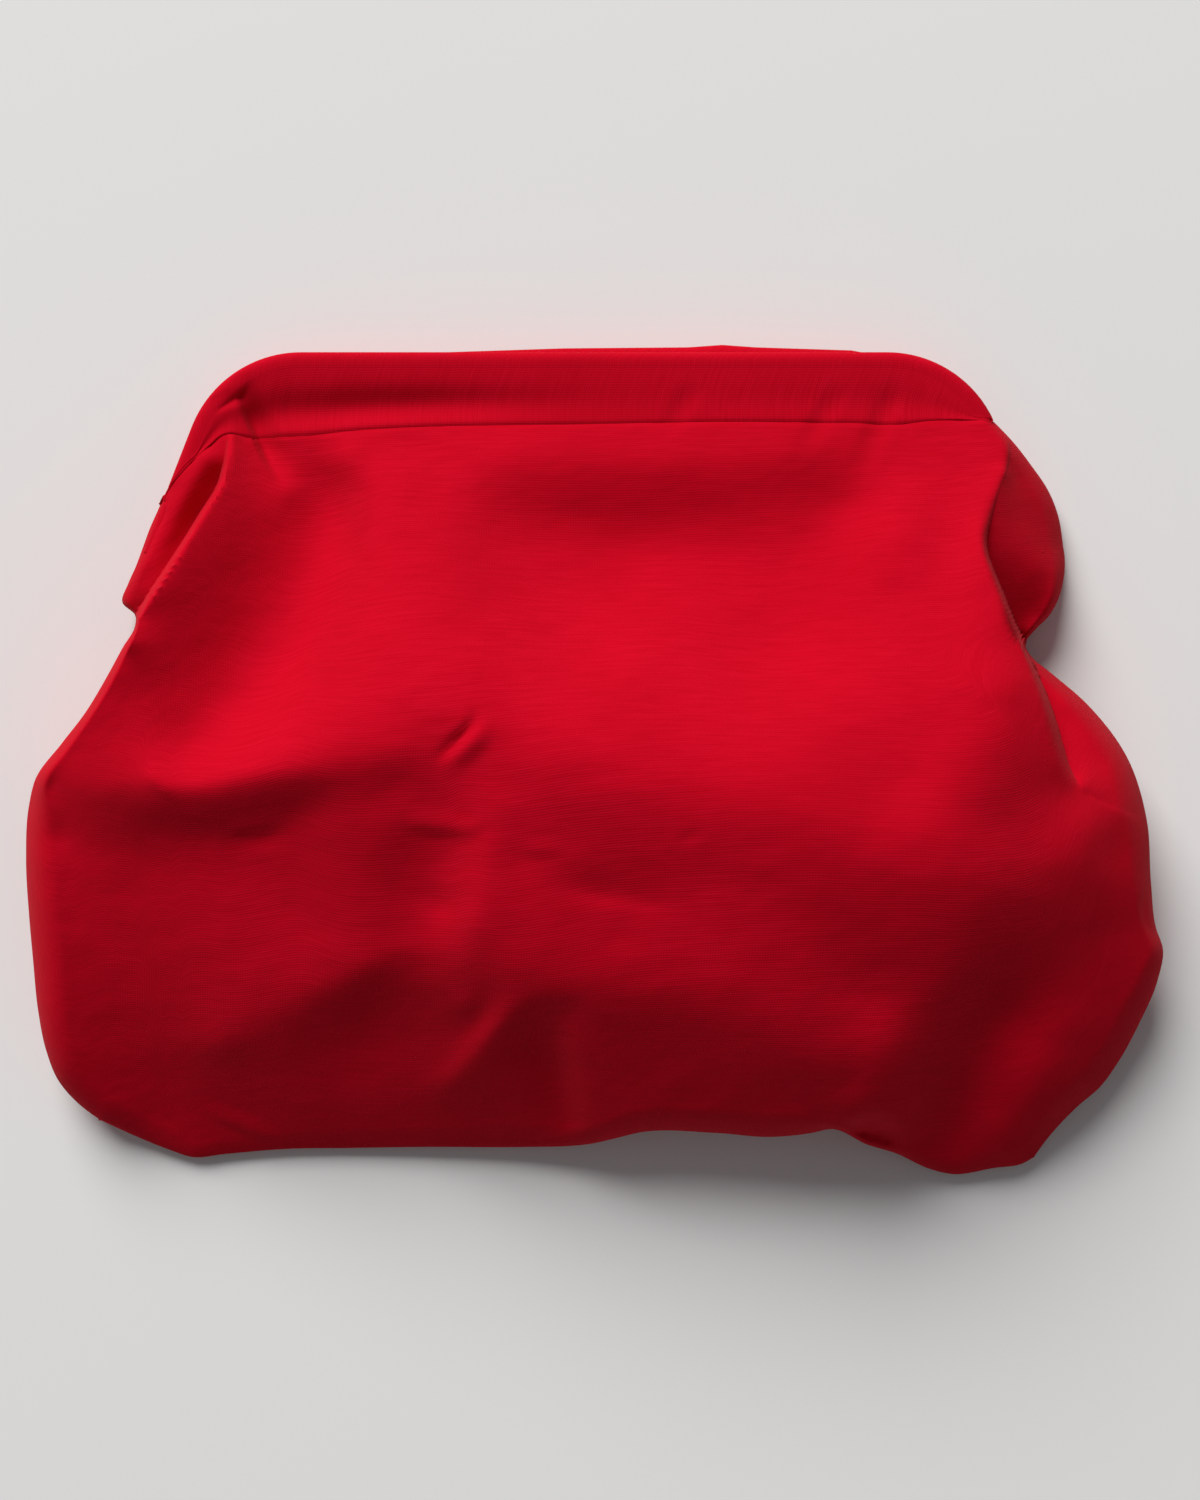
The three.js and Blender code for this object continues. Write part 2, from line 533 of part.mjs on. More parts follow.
function washer() {
  const inner = RIVET_DIAMETER / 2 + RUNNING_GAP;
  const outer = WASHER_DIAMETER / 2;
  const half = WASHER_THICKNESS / 2;
  const corners = [[inner, -half], [outer, -half], [outer, half], [inner, half], [inner, -half]];
  const profile = corners.map(([r, y]) => new THREE.Vector2(r, y));
  return new THREE.LatheGeometry(profile, SMALL_SIDES).rotateZ(-Math.PI / 2);
}

// Materials.
const woven = (name, color, roughness) => new THREE.MeshStandardMaterial({ name, color, roughness });
const cotton = woven("red_cotton", 0xc20a22, 0.85);
const liningCotton = woven("lining_cotton", 0xa80c20, 0.9);
const steel = new THREE.MeshStandardMaterial({
  name: "frame_steel",
  color: 0xb9bbbd,
  roughness: 0.4,
  metalness: 1,
});

function piece(name, geometry, material) {
  const mesh = new THREE.Mesh(geometry, material);
  mesh.name = name;
  return mesh;
}

const front = frontRows();
const back = backRows();
const liningDepth = PANEL_CLOTH + SEWN_GAP;

const bag = new THREE.Group();
bag.name = "clutch_bag";
bag.add(
  piece("front_panel", clothPanel(front, 1, 0, PANEL_CLOTH), cotton),
  piece("back_panel", clothPanel(back, -1, 0, PANEL_CLOTH), cotton),
  piece("front_lining", clothPanel(front, 1, liningDepth, LINING_CLOTH), liningCotton),
  piece("back_lining", clothPanel(back, -1, liningDepth, LINING_CLOTH), liningCotton),
  piece("front_casing", casing(FRONT_ROD_Z, 1), cotton),
  piece("back_casing", casing(BACK_ROD_Z, -1), cotton),
  piece("front_frame", frameHalf(FRONT_ROD_Z, 1), steel),
  piece("back_frame", frameHalf(BACK_ROD_Z, -1), steel),
);
for (const [end, name] of [[-1, "left"], [1, "right"]]) {
  const hinge = new THREE.Group();
  hinge.position.set(end * HINGE_X, HINGE_Y, HINGE_Z);
  hinge.add(piece(`${name}_hinge_rivet`, rivet(), steel), piece(`${name}_hinge_washer`, washer(), steel));
  bag.add(hinge);
}

export default bag;
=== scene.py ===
# %% [markdown]
# # A red cotton clutch on a hidden hinged frame
# The bag lies on its back and is seen from straight above. Its solids, hinge and sizes come from the
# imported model, which stays as it is. This lesson dresses it: cloth panels with their folds, the two
# casings sewn round the frame, the lining, plated steel, and a pale table under soft window light.

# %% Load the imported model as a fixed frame
import math

import bpy
import numpy as np
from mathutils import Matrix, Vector, noise


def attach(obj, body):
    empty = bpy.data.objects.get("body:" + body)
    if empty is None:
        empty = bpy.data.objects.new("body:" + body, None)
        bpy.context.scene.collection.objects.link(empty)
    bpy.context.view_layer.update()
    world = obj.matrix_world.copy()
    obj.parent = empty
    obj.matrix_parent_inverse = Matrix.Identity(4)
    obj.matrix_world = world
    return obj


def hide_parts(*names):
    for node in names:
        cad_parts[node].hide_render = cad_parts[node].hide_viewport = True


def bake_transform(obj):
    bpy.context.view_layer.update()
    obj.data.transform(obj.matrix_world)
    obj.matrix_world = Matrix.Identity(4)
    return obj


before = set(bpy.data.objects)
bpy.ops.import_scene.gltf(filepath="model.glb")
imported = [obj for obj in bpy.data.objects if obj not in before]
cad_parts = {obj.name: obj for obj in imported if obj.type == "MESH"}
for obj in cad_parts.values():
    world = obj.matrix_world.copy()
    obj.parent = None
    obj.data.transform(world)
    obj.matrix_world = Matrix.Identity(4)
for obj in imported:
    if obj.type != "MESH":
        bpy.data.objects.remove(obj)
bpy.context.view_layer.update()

# %% [markdown]
# ## Camera
# The photograph was taken from straight above, so the camera hangs over the bag and looks down. Every
# place below is written as the pixel where the photograph shows it and the height of the cloth there
# in millimetres. One function turns that into a place on the bag, by following the camera's ray down
# to that height. So the folds stay where the picture has them, in real sizes.

# %% Hang the camera over the bag
PHOTO_WIDTH, PHOTO_HEIGHT = 1200, 1500  # pixels
CAMERA_HEIGHT = 700  # millimetres above the table
CAMERA_PLACE = (1.7, 2.7)  # millimetres, the point of the table under the camera
VIEW_WIDTH = 350  # millimetres of table across the picture
SENSOR_SIZE = 36  # millimetres, along the picture's long side


def new_object(name, data):
    """An object with the given data, placed in the scene."""
    made = bpy.data.objects.new(name, data)
    bpy.context.scene.collection.objects.link(made)
    return made


camera = new_object("camera", bpy.data.cameras.new("camera"))
camera.location = (CAMERA_PLACE[0] / 1000, CAMERA_PLACE[1] / 1000, CAMERA_HEIGHT / 1000)
camera.data.sensor_width = SENSOR_SIZE
camera.data.lens = SENSOR_SIZE * CAMERA_HEIGHT / (VIEW_WIDTH * PHOTO_HEIGHT / PHOTO_WIDTH)
bpy.context.scene.camera = camera


def under_pixel(px, py, height):
    """The place in millimetres that the photograph shows at a pixel, if it lies at that height."""
    scale = VIEW_WIDTH / PHOTO_WIDTH * (1 - np.asarray(height, float) / CAMERA_HEIGHT)
    x = (np.asarray(px, float) - PHOTO_WIDTH / 2) * scale + CAMERA_PLACE[0]
    y = (PHOTO_HEIGHT / 2 - np.asarray(py, float)) * scale + CAMERA_PLACE[1]
    return np.stack([x, y, np.broadcast_to(height, x.shape)], axis=-1)


print("lens", round(camera.data.lens, 1), "mm")

# %% [markdown]
# ## Smooth lines
# Outlines, seams and folds are short lists of given points. A spline drawn through them gives
# as many points as a mesh needs. The same spline serves any number of columns, so a point can carry
# its height and its roundness along with its place.

# %% A spline through a list of points
def steps_along(points):
    """The distance from each point of a line to the next, seen from above."""
    return np.linalg.norm(np.diff(np.asarray(points, float)[:, :2], axis=0), axis=1)


def line_length(points):
    return float(steps_along(points).sum())


def spline(points, count):
    """count points, evenly spaced along a smooth line through the given points."""
    p = np.asarray(points, float)
    knots = np.concatenate([[0], np.cumsum(np.maximum(steps_along(p), 1e-6))])
    slopes = np.gradient(p, knots, axis=0)
    at = np.linspace(0, knots[-1], count)
    i = np.clip(np.searchsorted(knots, at, side="right") - 1, 0, len(p) - 2)
    length = (knots[i + 1] - knots[i])[:, None]
    t = ((at - knots[i]) / length[:, 0])[:, None]
    rise = p[i + 1] - p[i]
    return (
        p[i]
        + rise * t * t * (3 - 2 * t)
        + slopes[i] * length * t * (1 - t) ** 2
        - slopes[i + 1] * length * t * t * (1 - t)
    )


print("a short spline:", spline([(0, 0), (4, 0), (4, 4)], 3).tolist())

# %% [markdown]
# ## The front panel's outline
# The body is one cloth front and one cloth back, sewn together at the sides and turned over at the
# bottom. Along the top the front is sewn to the casing, and at the two shoulders it is drawn over the
# legs of the frame. Each edge point holds its pixel, the height of the rim there, the height of the
# cloth where it starts to turn down to the rim, and how wide that turn looks.

# %% The edges of the front panel
# pixel across, pixel down, rim height, cloth height beside the rim, width of the turn in pixels
LEFT_EDGE = [
    (100, 1120, 8, 14, 25), (80, 1105, 9, 16.5, 26), (58, 1080, 11, 20.5, 27), (46, 1050, 13, 24, 28),
    (38, 1010, 15, 28, 30), (33, 960, 17, 31.5, 32), (29, 915, 18.5, 34.5, 32), (26, 860, 20, 37.5, 30),
    (29, 805, 20, 39.5, 22), (35, 780, 20, 42, 13), (62, 743, 20, 45, 10), (85, 713, 20, 47.5, 8),
    (105, 680, 19, 48.5, 8), (123, 647, 17, 48, 6), (135, 626, 14, 46.5, 3), (136, 617, 11, 20, 3),
    (122, 602, 8, 13, 8), (128, 584, 9.5, 16, 10), (136, 566, 10.5, 18.4, 10),
    (143, 547, 10.5, 18.4, 12), (150, 528, 11, 18, 13), (158, 510, 11.5, 17, 12),
    (161, 503, 12.5, 16.5, 9),
]
RIGHT_EDGE = [
    (1034, 1157, 3.5, 7, 14), (1044, 1143, 3.5, 9.5, 18), (1061, 1123, 3.5, 13.5, 22),
    (1077, 1107, 3.5, 15.5, 24), (1101, 1086, 4.5, 15.5, 24), (1117, 1064, 6, 17.5, 24),
    (1139, 1024, 9, 21, 24), (1158, 979, 13, 24.5, 20), (1163, 949, 16, 26, 14),
    (1156, 928, 18, 28, 14), (1151, 882, 20, 33, 20), (1147, 821, 20, 35, 24), (1128, 759, 18, 34, 24),
    (1088, 705, 15, 31, 20), (1050, 672, 12.5, 27, 12), (1030, 655, 11, 24, 6), (1025, 645, 9, 19, 4),
    (1036, 629, 7, 15, 6), (1049, 616, 6.5, 15.5, 8), (1058, 600, 6.5, 16, 9), (1063, 582, 5.5, 15, 11),
    (1065, 562, 4.5, 12.5, 13), (1063, 545, 4, 11, 15), (1058, 515, 4.5, 11, 15),
    (1049, 492, 5.5, 12, 15), (1031, 465, 8, 14.5, 14), (1014, 443, 11, 17, 12),
    (1000, 428, 13, 18.2, 11), (994, 422, 14, 17.6, 10),
]
BOTTOM_EDGE = [
    (100, 1120, 8, 14, 25), (140, 1138, 4.5, 8, 22), (170, 1150, 3.5, 6, 18), (192, 1157, 3, 5, 14),
    (225, 1154, 3, 4.5, 14), (285, 1149, 3, 5, 16), (350, 1148, 3, 5.5, 18), (420, 1147, 4, 7, 20),
    (529, 1147, 6.5, 11.5, 24), (570, 1146, 9, 15.5, 20), (590, 1144, 10.5, 18.5, 18),
    (617, 1138, 13, 22, 20), (637, 1133, 14.5, 24.5, 22), (716, 1133, 15.5, 27.5, 24),
    (770, 1137, 16, 28, 24), (812, 1133, 17, 28.5, 16), (831, 1129, 17, 27, 6),
    (868, 1145, 14, 19.5, 6), (895, 1153, 10, 15.5, 8), (930, 1169, 4.5, 10, 14),
    (951, 1174, 3, 7.5, 14), (994, 1168, 3, 8, 18), (1024, 1163, 3.5, 7, 16), (1034, 1157, 3.5, 7, 14),
]
# pixel across, pixel down, height of the seam that joins the panel to the casing
CASING_SEAM = [
    (161, 503, 12.5), (164, 496, 15.5), (171, 484, 17.9), (180, 474, 18.6), (188, 465, 18.8),
    (208, 447, 18.5), (224, 435, 18.4), (232, 434, 18.5), (241, 436, 17.8), (251, 438, 16.8),
    (260, 438, 16.4), (277, 437, 16.8), (310, 435, 17.3), (363, 430, 17.5), (420, 427, 17.7),
    (520, 425, 18), (600, 424, 18.3), (700, 422, 18.4), (780, 422, 18.3), (850, 423, 18.2),
    (900, 424, 18.2), (930, 421, 18.4), (955, 420, 18.6), (972, 420, 18.7), (981, 420, 18.7),
    (989, 421, 18), (994, 422, 14),
]
EDGE_SAMPLES = 260
left_edge, right_edge, bottom_edge, casing_seam = (
    spline(points, EDGE_SAMPLES) for points in (LEFT_EDGE, RIGHT_EDGE, BOTTOM_EDGE, CASING_SEAM)
)
rim_line = np.concatenate([left_edge[::-1], bottom_edge[1:], right_edge[1:]])
print("the side seam is", round(line_length(under_pixel(*rim_line[:, :3].T))), "mm long")

# %% [markdown]
# ## The folds of the front
# Slack cotton hangs between its folds much as a tent hangs between its poles: nearly straight, with
# a crease along each fold. So the form is given by its ridges and valleys alone. Each is a line of
# points with heights, and a roundness in pixels, small for a pressed crease and large for a soft
# swell. A radial basis surface passes through all of them. Simulated cloth would fold where chance
# leads it, and these folds are the ones that this bag has.

# %% Ridges and valleys: roundness, then points of pixel across, pixel down and height
FOLDS = {
    "left shoulder fold": (5, [
        (231, 447, 22.5), (229, 460, 25), (223, 485, 29.4), (205, 515, 35), (183, 550, 41),
        (164, 580, 44.5), (147, 603, 46), (139, 617, 46)]),
    "valley beside the left fold": (16, [
        (324, 470, 17.4), (332, 495, 16.8), (335, 530, 19), (328, 580, 25), (310, 626, 30.2),
        (284, 668, 34.8), (244, 712, 40.2), (194, 752, 46)]),
    "foot of the corner crease": (8, [(262, 448, 16.4), (271, 466, 17.4), (286, 490, 19)]),
    "rise right of that valley": (30, [
        (380, 480, 25.6), (376, 530, 30.6), (366, 592, 37.6), (346, 645, 43.8), (316, 698, 49.6),
        (276, 742, 54)]),
    "soft ridge down the middle": (20, [
        (425, 440, 19), (430, 500, 28), (438, 560, 38), (447, 620, 48), (462, 670, 56),
        (476, 706, 60)]),
    "puff under the seam": (15, [
        (352, 452, 21), (420, 451, 20.4), (500, 454, 22.6), (600, 462, 22), (700, 462, 21.8),
        (800, 450, 20.6), (880, 447, 19.9), (940, 445, 20.6), (975, 450, 21.5)]),
    "sag under the seam": (22, [
        (480, 512, 27), (530, 532, 24.4), (600, 540, 21), (700, 548, 20.4), (790, 550, 22),
        (845, 510, 21)]),
    "crest": (25, [
        (520, 735, 61.5), (560, 745, 63), (620, 765, 64.5), (690, 795, 65.8), (760, 806, 66.2),
        (820, 815, 65.6), (870, 835, 64.4), (905, 842, 63.5), (932, 825, 62), (960, 785, 60),
        (990, 750, 57.5), (1018, 714, 53.5), (1022, 680, 50.5)]),
    "right shoulder fold": (5, [
        (1000, 462, 22.5), (990, 487, 26.5), (983, 515, 31), (980, 537, 35), (982, 556, 38),
        (995, 590, 42), (1006, 615, 44.5), (1016, 640, 46), (1029, 662, 47), (1040, 685, 48),
        (1049, 705, 48.5), (1058, 740, 48.5), (1065, 771, 47.5), (1076, 789, 45), (1094, 799, 43.5),
        (1116, 808, 41)]),
    "left crest": (5, [
        (50, 787, 41), (95, 790, 46), (130, 789, 49), (150, 782, 51), (165, 787, 51.5),
        (200, 785, 53.5), (232, 777, 55.5), (265, 772, 57.5), (300, 770, 59), (330, 763, 60),
        (370, 758, 60.8), (420, 751, 60.8), (443, 755, 60)]),
    "foot of the left crest": (10, [
        (60, 835, 37.5), (120, 836, 41.6), (200, 836, 44.8), (245, 838, 46.6), (300, 813, 52.4),
        (350, 798, 57), (410, 784, 58.6), (450, 784, 58.9)]),
    "ridge above the bottom left": (8, [
        (440, 908, 49.4), (415, 938, 47), (370, 970, 43.2), (330, 992, 39.2), (295, 1010, 35.4),
        (255, 1028, 31), (222, 1042, 27.2)]),
    "ridge below the pinch": (8, [
        (487, 760, 60.8), (488, 800, 60.2), (489, 848, 58.8), (480, 890, 57.2), (472, 928, 54.6),
        (468, 970, 49.4), (467, 1002, 43.6)]),
    "valley beside that ridge": (8, [
        (522, 855, 58.8), (508, 915, 57), (494, 980, 50.2), (482, 1012, 42.2), (463, 1040, 34.8),
        (446, 1062, 28.8)]),
    "slanting bottom ridge": (5, [
        (522, 1002, 48.6), (506, 1018, 45), (489, 1037, 40), (469, 1062, 32.6), (451, 1084, 25.6)]),
    "upright bottom ridge": (6, [
        (567, 1015, 46.2), (572, 1040, 41.2), (578, 1080, 32), (586, 1121, 23)]),
    "valley left of it": (6, [(552, 1040, 37), (560, 1080, 27), (569, 1122, 18.5)]),
    "turn to the bottom": (10, [
        (538, 992, 50.8), (600, 998, 52), (680, 1001, 53), (730, 1020, 51.8), (775, 1046, 48.8),
        (815, 1066, 46), (850, 1080, 43.5)]),
    "bottom valley": (12, [(641, 1118, 28), (720, 1097, 35.4), (775, 1090, 38.8), (815, 1092, 39.4)]),
    "tuck at the bottom right": (3, [
        (833, 1124, 30.5), (856, 1118, 33), (879, 1113, 34), (894, 1119, 30.5), (902, 1134, 22.5)]),
    "inside of that tuck": (3, [(850, 1133, 21), (868, 1133, 19.5), (888, 1141, 16)]),
    "bottom right valley": (15, [(1008, 1014, 33.5), (967, 1067, 29), (941, 1134, 15.5)]),
    "bottom right ridge": (15, [(1064, 1030, 30.6), (1042, 1080, 26), (1004, 1138, 16.2)]),
}
LEG_FOLDS = {
    "hollow beside the left leg": (4, [
        (222, 460, 18.5), (215, 482, 16.5), (198, 512, 16), (177, 546, 17.5), (158, 575, 19.2),
        (145, 597, 17), (138, 610, 14)]),
    "cloth over the left leg": (8, [
        (205, 458, 20), (190, 482, 20), (176, 508, 19.8), (163, 540, 19.5), (151, 566, 19.4),
        (139, 588, 17)]),
    "hollow beside the right leg": (5, [
        (1003, 472, 24.5), (997, 500, 26.6), (990, 532, 28), (992, 560, 26.5), (1005, 595, 21),
        (1017, 625, 15.5), (1023, 641, 12.5)]),
    "cloth over the right leg": (10, [
        (1006, 452, 20.6), (1015, 485, 20), (1024, 515, 19.8), (1033, 545, 19.6), (1040, 570, 19.2),
        (1041, 592, 17.5)]),
    "tuck behind the right fold": (4, [
        (1037, 672, 27), (1047, 695, 30), (1056, 720, 33), (1064, 748, 37), (1072, 772, 41),
        (1082, 788, 44)]),
    "right side lobe": (15, [
        (1065, 700, 31.5), (1085, 735, 34.5), (1100, 765, 37), (1118, 795, 38.5), (1135, 815, 36)]),
    "end of the tuck": (8, [(1082, 792, 43.5), (1094, 799, 42.5), (1116, 808, 40), (1135, 816, 36)]),
}
SWELL_ROUNDNESS = 40
SWELLS = [
    (600, 600, 31), (700, 600, 29.4), (560, 650, 45), (640, 660, 46.5), (780, 640, 34.4),
    (850, 600, 33.2), (900, 540, 32.5), (950, 540, 32.5), (940, 600, 40.5), (880, 700, 51.2),
    (900, 780, 58.4), (800, 740, 58.2), (660, 730, 59.5), (1040, 830, 52), (1090, 840, 46),
    (1120, 845, 39), (1118, 885, 38.5), (1100, 930, 37), (1060, 900, 47.4), (1000, 880, 57.6),
    (960, 920, 57), (900, 920, 59.4), (1040, 980, 38), (1110, 990, 29.2), (945, 990, 48.4),
    (100, 920, 33.8), (200, 920, 38.2), (300, 915, 43.8), (370, 834, 55), (380, 880, 50.6),
    (100, 1020, 24.5), (150, 1090, 14.5), (380, 1010, 34), (330, 1050, 26.2), (250, 1080, 19.2),
    (420, 1040, 30), (380, 1100, 17.2), (300, 1110, 14.2), (440, 860, 52.8), (520, 1040, 37.5),
    (530, 1090, 25), (480, 1105, 20), (620, 1060, 39.8), (700, 1060, 42.6), (690, 1118, 30),
    (740, 1118, 31), (830, 1012, 52.8), (880, 1006, 50.8), (890, 1040, 48.4), (880, 1078, 44),
    (620, 900, 58), (720, 900, 60.8), (820, 930, 59.8),
]
POINT_SPACING = 3  # pixels; of two points that are closer, the first is kept
EDGE_ROUNDNESS = 6
FOLD_STEP, SOFT_STEP = 9, 1.1  # between a fold's points, in pixels and in times its roundness
PLACES_AT_ONCE = 4000  # keeps the tables of distances small


def fold_points(folds, swells, edges):
    """All the points that the cloth passes through: pixel across, pixel down, height, roundness."""
    rows = [(*point, SWELL_ROUNDNESS) for point in swells]
    for roundness, points in folds.values():
        step = max(FOLD_STEP, SOFT_STEP * roundness)
        count = max(len(points), int(line_length(points) / step))
        rows += [(*point, roundness) for point in spline(points, count)]
    rows += [(*point, EDGE_ROUNDNESS) for point in edges]
    kept = []
    for row in rows:
        if all(math.hypot(row[0] - other[0], row[1] - other[1]) > POINT_SPACING for other in kept):
            kept.append(row)
    return np.array(kept)


def tent(points):
    """A surface through the points, as a function of pixel places."""
    places, heights, roundness = points[:, :2], points[:, 2], points[:, 3]
    count = len(points)

    def spread(at):
        gap = at[:, None, :] - places[None, :, :]
        return np.sqrt((gap**2).sum(-1) + roundness[None, :] ** 2)

    plane = np.column_stack([np.ones(count), places / PHOTO_WIDTH])
    system = np.zeros((count + 3, count + 3))
    system[:count, :count] = spread(places)
    system[:count, count:] = plane
    system[count:, :count] = plane.T
    weights = np.linalg.solve(system, np.concatenate([heights, np.zeros(3)]))

    def height(at):
        parts = []
        for chunk in np.array_split(at, max(1, len(at) // PLACES_AT_ONCE)):
            base = np.column_stack([np.ones(len(chunk)), chunk / PHOTO_WIDTH])
            parts.append(spread(chunk) @ weights[:count] + base @ weights[count:])
        return np.concatenate(parts)

    return height


print(len(FOLDS) + len(LEG_FOLDS), "ridges and valleys")

# %% [markdown]
# ## Two sheets of one cloth
# At both shoulders the body stands up as a steep fold beside the leg of the frame, and on the right
# a tuck runs on below it. One surface through both would ring at such a wall. So the body and the cloth
# beside it are two surfaces, and along a dividing line the body rolls down to the other one.

# %% The body, the cloth over the legs, and the lines between them
# pixel across, pixel down, width of the roll in pixels; the body is on the right of someone walking
LEFT_DIVIDE = [
    (0, 636, 6), (100, 626, 6), (134, 617, 6), (139, 609, 6), (146, 597, 6), (160, 575, 6),
    (179, 546, 6), (200, 512, 6), (217, 484, 6), (223, 464, 7), (226, 448, 8), (229, 432, 6),
]
RIGHT_DIVIDE = [
    (1004, 414, 8), (1010, 446, 12), (1008, 466, 16), (999, 490, 16), (992, 515, 14), (987, 540, 8),
    (988, 552, 6), (994, 570, 5), (1003, 592, 5), (1015, 622, 5), (1026, 646, 5), (1037, 672, 6),
    (1047, 695, 8), (1056, 720, 10), (1064, 748, 11), (1072, 772, 12), (1086, 792, 14), (1116, 808, 20),
    (1150, 820, 20), (1260, 840, 20),
]
LEFT_NECK_ROW, RIGHT_LOBE_ROW = 618, 815  # pixels down: above them the rim belongs to the legs' cloth
NECK_GAP = 24  # pixels: the rim gives no height this close to the left neck, where the sheets part
LEFT_SEAM_COLUMN, RIGHT_SEAM_COLUMN = 228, 1000  # pixels across: outside them the seam does
LEFT_SAMPLES, RIGHT_SAMPLES = 80, 120  # along the dividing lines
RIM_STEP, SEAM_STEP, SEAM_END = 5, 6, 4  # samples: every so many count, and the seam's ends don't
divides = [spline(LEFT_DIVIDE, LEFT_SAMPLES), spline(RIGHT_DIVIDE, RIGHT_SAMPLES)]


def rim_points(edge, first=0, last=PHOTO_HEIGHT):
    """Points of an edge between two rows of pixels, with the cloth's height beside the rim."""
    return [(px, py, beside) for px, py, _, beside, _ in edge[::RIM_STEP] if first < py < last]


seam_points = [tuple(point) for point in casing_seam[SEAM_END:-SEAM_END:SEAM_STEP]]
body_edges = (
    rim_points(left_edge, LEFT_NECK_ROW + NECK_GAP) + rim_points(right_edge, RIGHT_LOBE_ROW)
    + rim_points(bottom_edge)
    + [point for point in seam_points if LEFT_SEAM_COLUMN < point[0] < RIGHT_SEAM_COLUMN]
)
leg_edges = (
    rim_points(left_edge, last=LEFT_NECK_ROW - NECK_GAP) + rim_points(right_edge, last=RIGHT_LOBE_ROW)
    + [point for point in seam_points if not LEFT_SEAM_COLUMN < point[0] < RIGHT_SEAM_COLUMN]
)
body_height = tent(fold_points(FOLDS, SWELLS, body_edges))
leg_height = tent(fold_points(LEG_FOLDS, [], leg_edges))
print(len(body_edges), "edge points for the body and", len(leg_edges), "for the cloth beside it")

# %% [markdown]
# ## Creases
# Smaller creases sit on top of that form: the pinch in the middle, the crumpled spot on the left, soft
# ripples that run from the casing into the panel. Each is a line with a height, and a width on the
# left and on the right of someone walking along it. A negative height is a groove. The same creases
# shape the casing, so those that cross the seam run on without a break.

# %% Small creases: height, width to the left, width to the right, then pixels
CREASES = [
    # the pinch at the left corner of the casing
    (-3, 26, 7, [(228, 372), (240, 394), (249, 416), (258, 436), (269, 460), (290, 496)]),
    (-1.2, 8, 13, [(206, 408), (224, 399), (240, 394), (252, 391)]),
    # the pinch in the middle: a groove, and a small roll beside it
    (-1.5, 8, 7, [(476, 700), (472, 722), (458, 738), (434, 764)]),
    (1.3, 18, 8, [(494, 716), (470, 742), (438, 772)]),
    # the crumpled spot under the left crest
    (-0.9, 8, 20, [(215, 839), (250, 836), (295, 831)]),
    (0.6, 14, 8, [(140, 768), (158, 784), (180, 802)]),
    # the fan of small folds left of the pinch
    (0.9, 20, 8, [(390, 822), (440, 828), (474, 829), (488, 806)]),
    (-0.6, 30, 12, [(540, 886), (614, 897), (690, 908)]),
    (0.5, 16, 5, [(512, 855), (540, 851), (572, 852)]),
    (-0.5, 8, 6, [(676, 842), (690, 838), (704, 830)]),
    # the pleats at the bottom left and on the right
    (0.7, 16, 8, [(196, 1106), (254, 1131), (296, 1150)]),
    (-1.4, 6, 6, [(1152, 876), (1144, 912), (1161, 948)]),
    # the ripples that run out of the casing
    (-0.8, 18, 18, [(900, 372), (873, 440), (850, 484)]),
    (-0.6, 16, 16, [(845, 380), (818, 425), (794, 462)]),
    (-0.5, 16, 16, [(700, 378), (680, 410), (668, 440)]),
]
FADE = 0.42  # the share of a crease over which each end fades
CREASE_SAMPLES = 24


def smooth(t):
    t = np.clip(t, 0, 1)
    return t * t * (3 - 2 * t)


def nearest_on(line, at):
    """For each place: its distance from a line, how many samples along that is, and the side."""
    best = np.full(len(at), np.inf)
    share = np.zeros(len(at))
    side = np.zeros(len(at))
    for i, (start, end) in enumerate(zip(line[:-1, :2], line[1:, :2])):
        along = end - start
        gap = at - start
        t = np.clip(gap @ along / max(along @ along, 1e-9), 0, 1)
        distance = np.linalg.norm(gap - t[:, None] * along, axis=1)
        closer = distance < best
        best = np.where(closer, distance, best)
        share = np.where(closer, i + t, share)
        side = np.where(closer, along[0] * gap[:, 1] - along[1] * gap[:, 0], side)
    return best, share, side


def value_on(line, share, column):
    """A column of a line's samples, read between them."""
    return np.interp(share, np.arange(len(line)), line[:, column])


def crease_lift(at):
    """How far the creases lift the cloth at each pixel place, in millimetres."""
    lift = np.zeros(len(at))
    for height, left_width, right_width, points in CREASES:
        distance, run, side = nearest_on(spline(points, CREASE_SAMPLES), at)
        share = run / (CREASE_SAMPLES - 1)
        reach = distance / np.where(side < 0, left_width, right_width)
        ends = smooth(share / FADE) * smooth((1 - share) / FADE)
        lift += height * np.clip(1 - reach**2, 0, 1) ** 2 * ends
    return lift


print(len(CREASES), "creases")

# %% [markdown]
# ## From places to a cloth mesh
# Each cloth piece is a grid of places. Its mesh gets a second side, one cloth thickness inside the
# first, and a rim that closes the two, so it is a real thin solid. The texture coordinates are the
# lengths measured along the cloth in metres, so the weave keeps its size on steep folds and moves
# with the cloth when the mouth opens.

# %% Build a cloth piece from a grid of places
EDGE_SHARE, SHARE_STEP = 0.45, 0.1  # of the thickness: what the last row has, and the gain a row
SHARP_ANGLE = 55  # degrees; a sharper turn shows as an edge


def grid_normals(grid):
    across = np.gradient(grid, axis=1)
    along = np.gradient(grid, axis=0)
    normal = np.cross(across, along)
    return normal / np.maximum(np.linalg.norm(normal, axis=-1, keepdims=True), 1e-9)


def run_along(grid, axis):
    """Lengths along the rows or columns of a grid, from its first place on."""
    first = np.take(grid, [0], axis)
    return np.cumsum(np.linalg.norm(np.diff(grid, axis=axis, prepend=first), axis=-1), axis=axis)


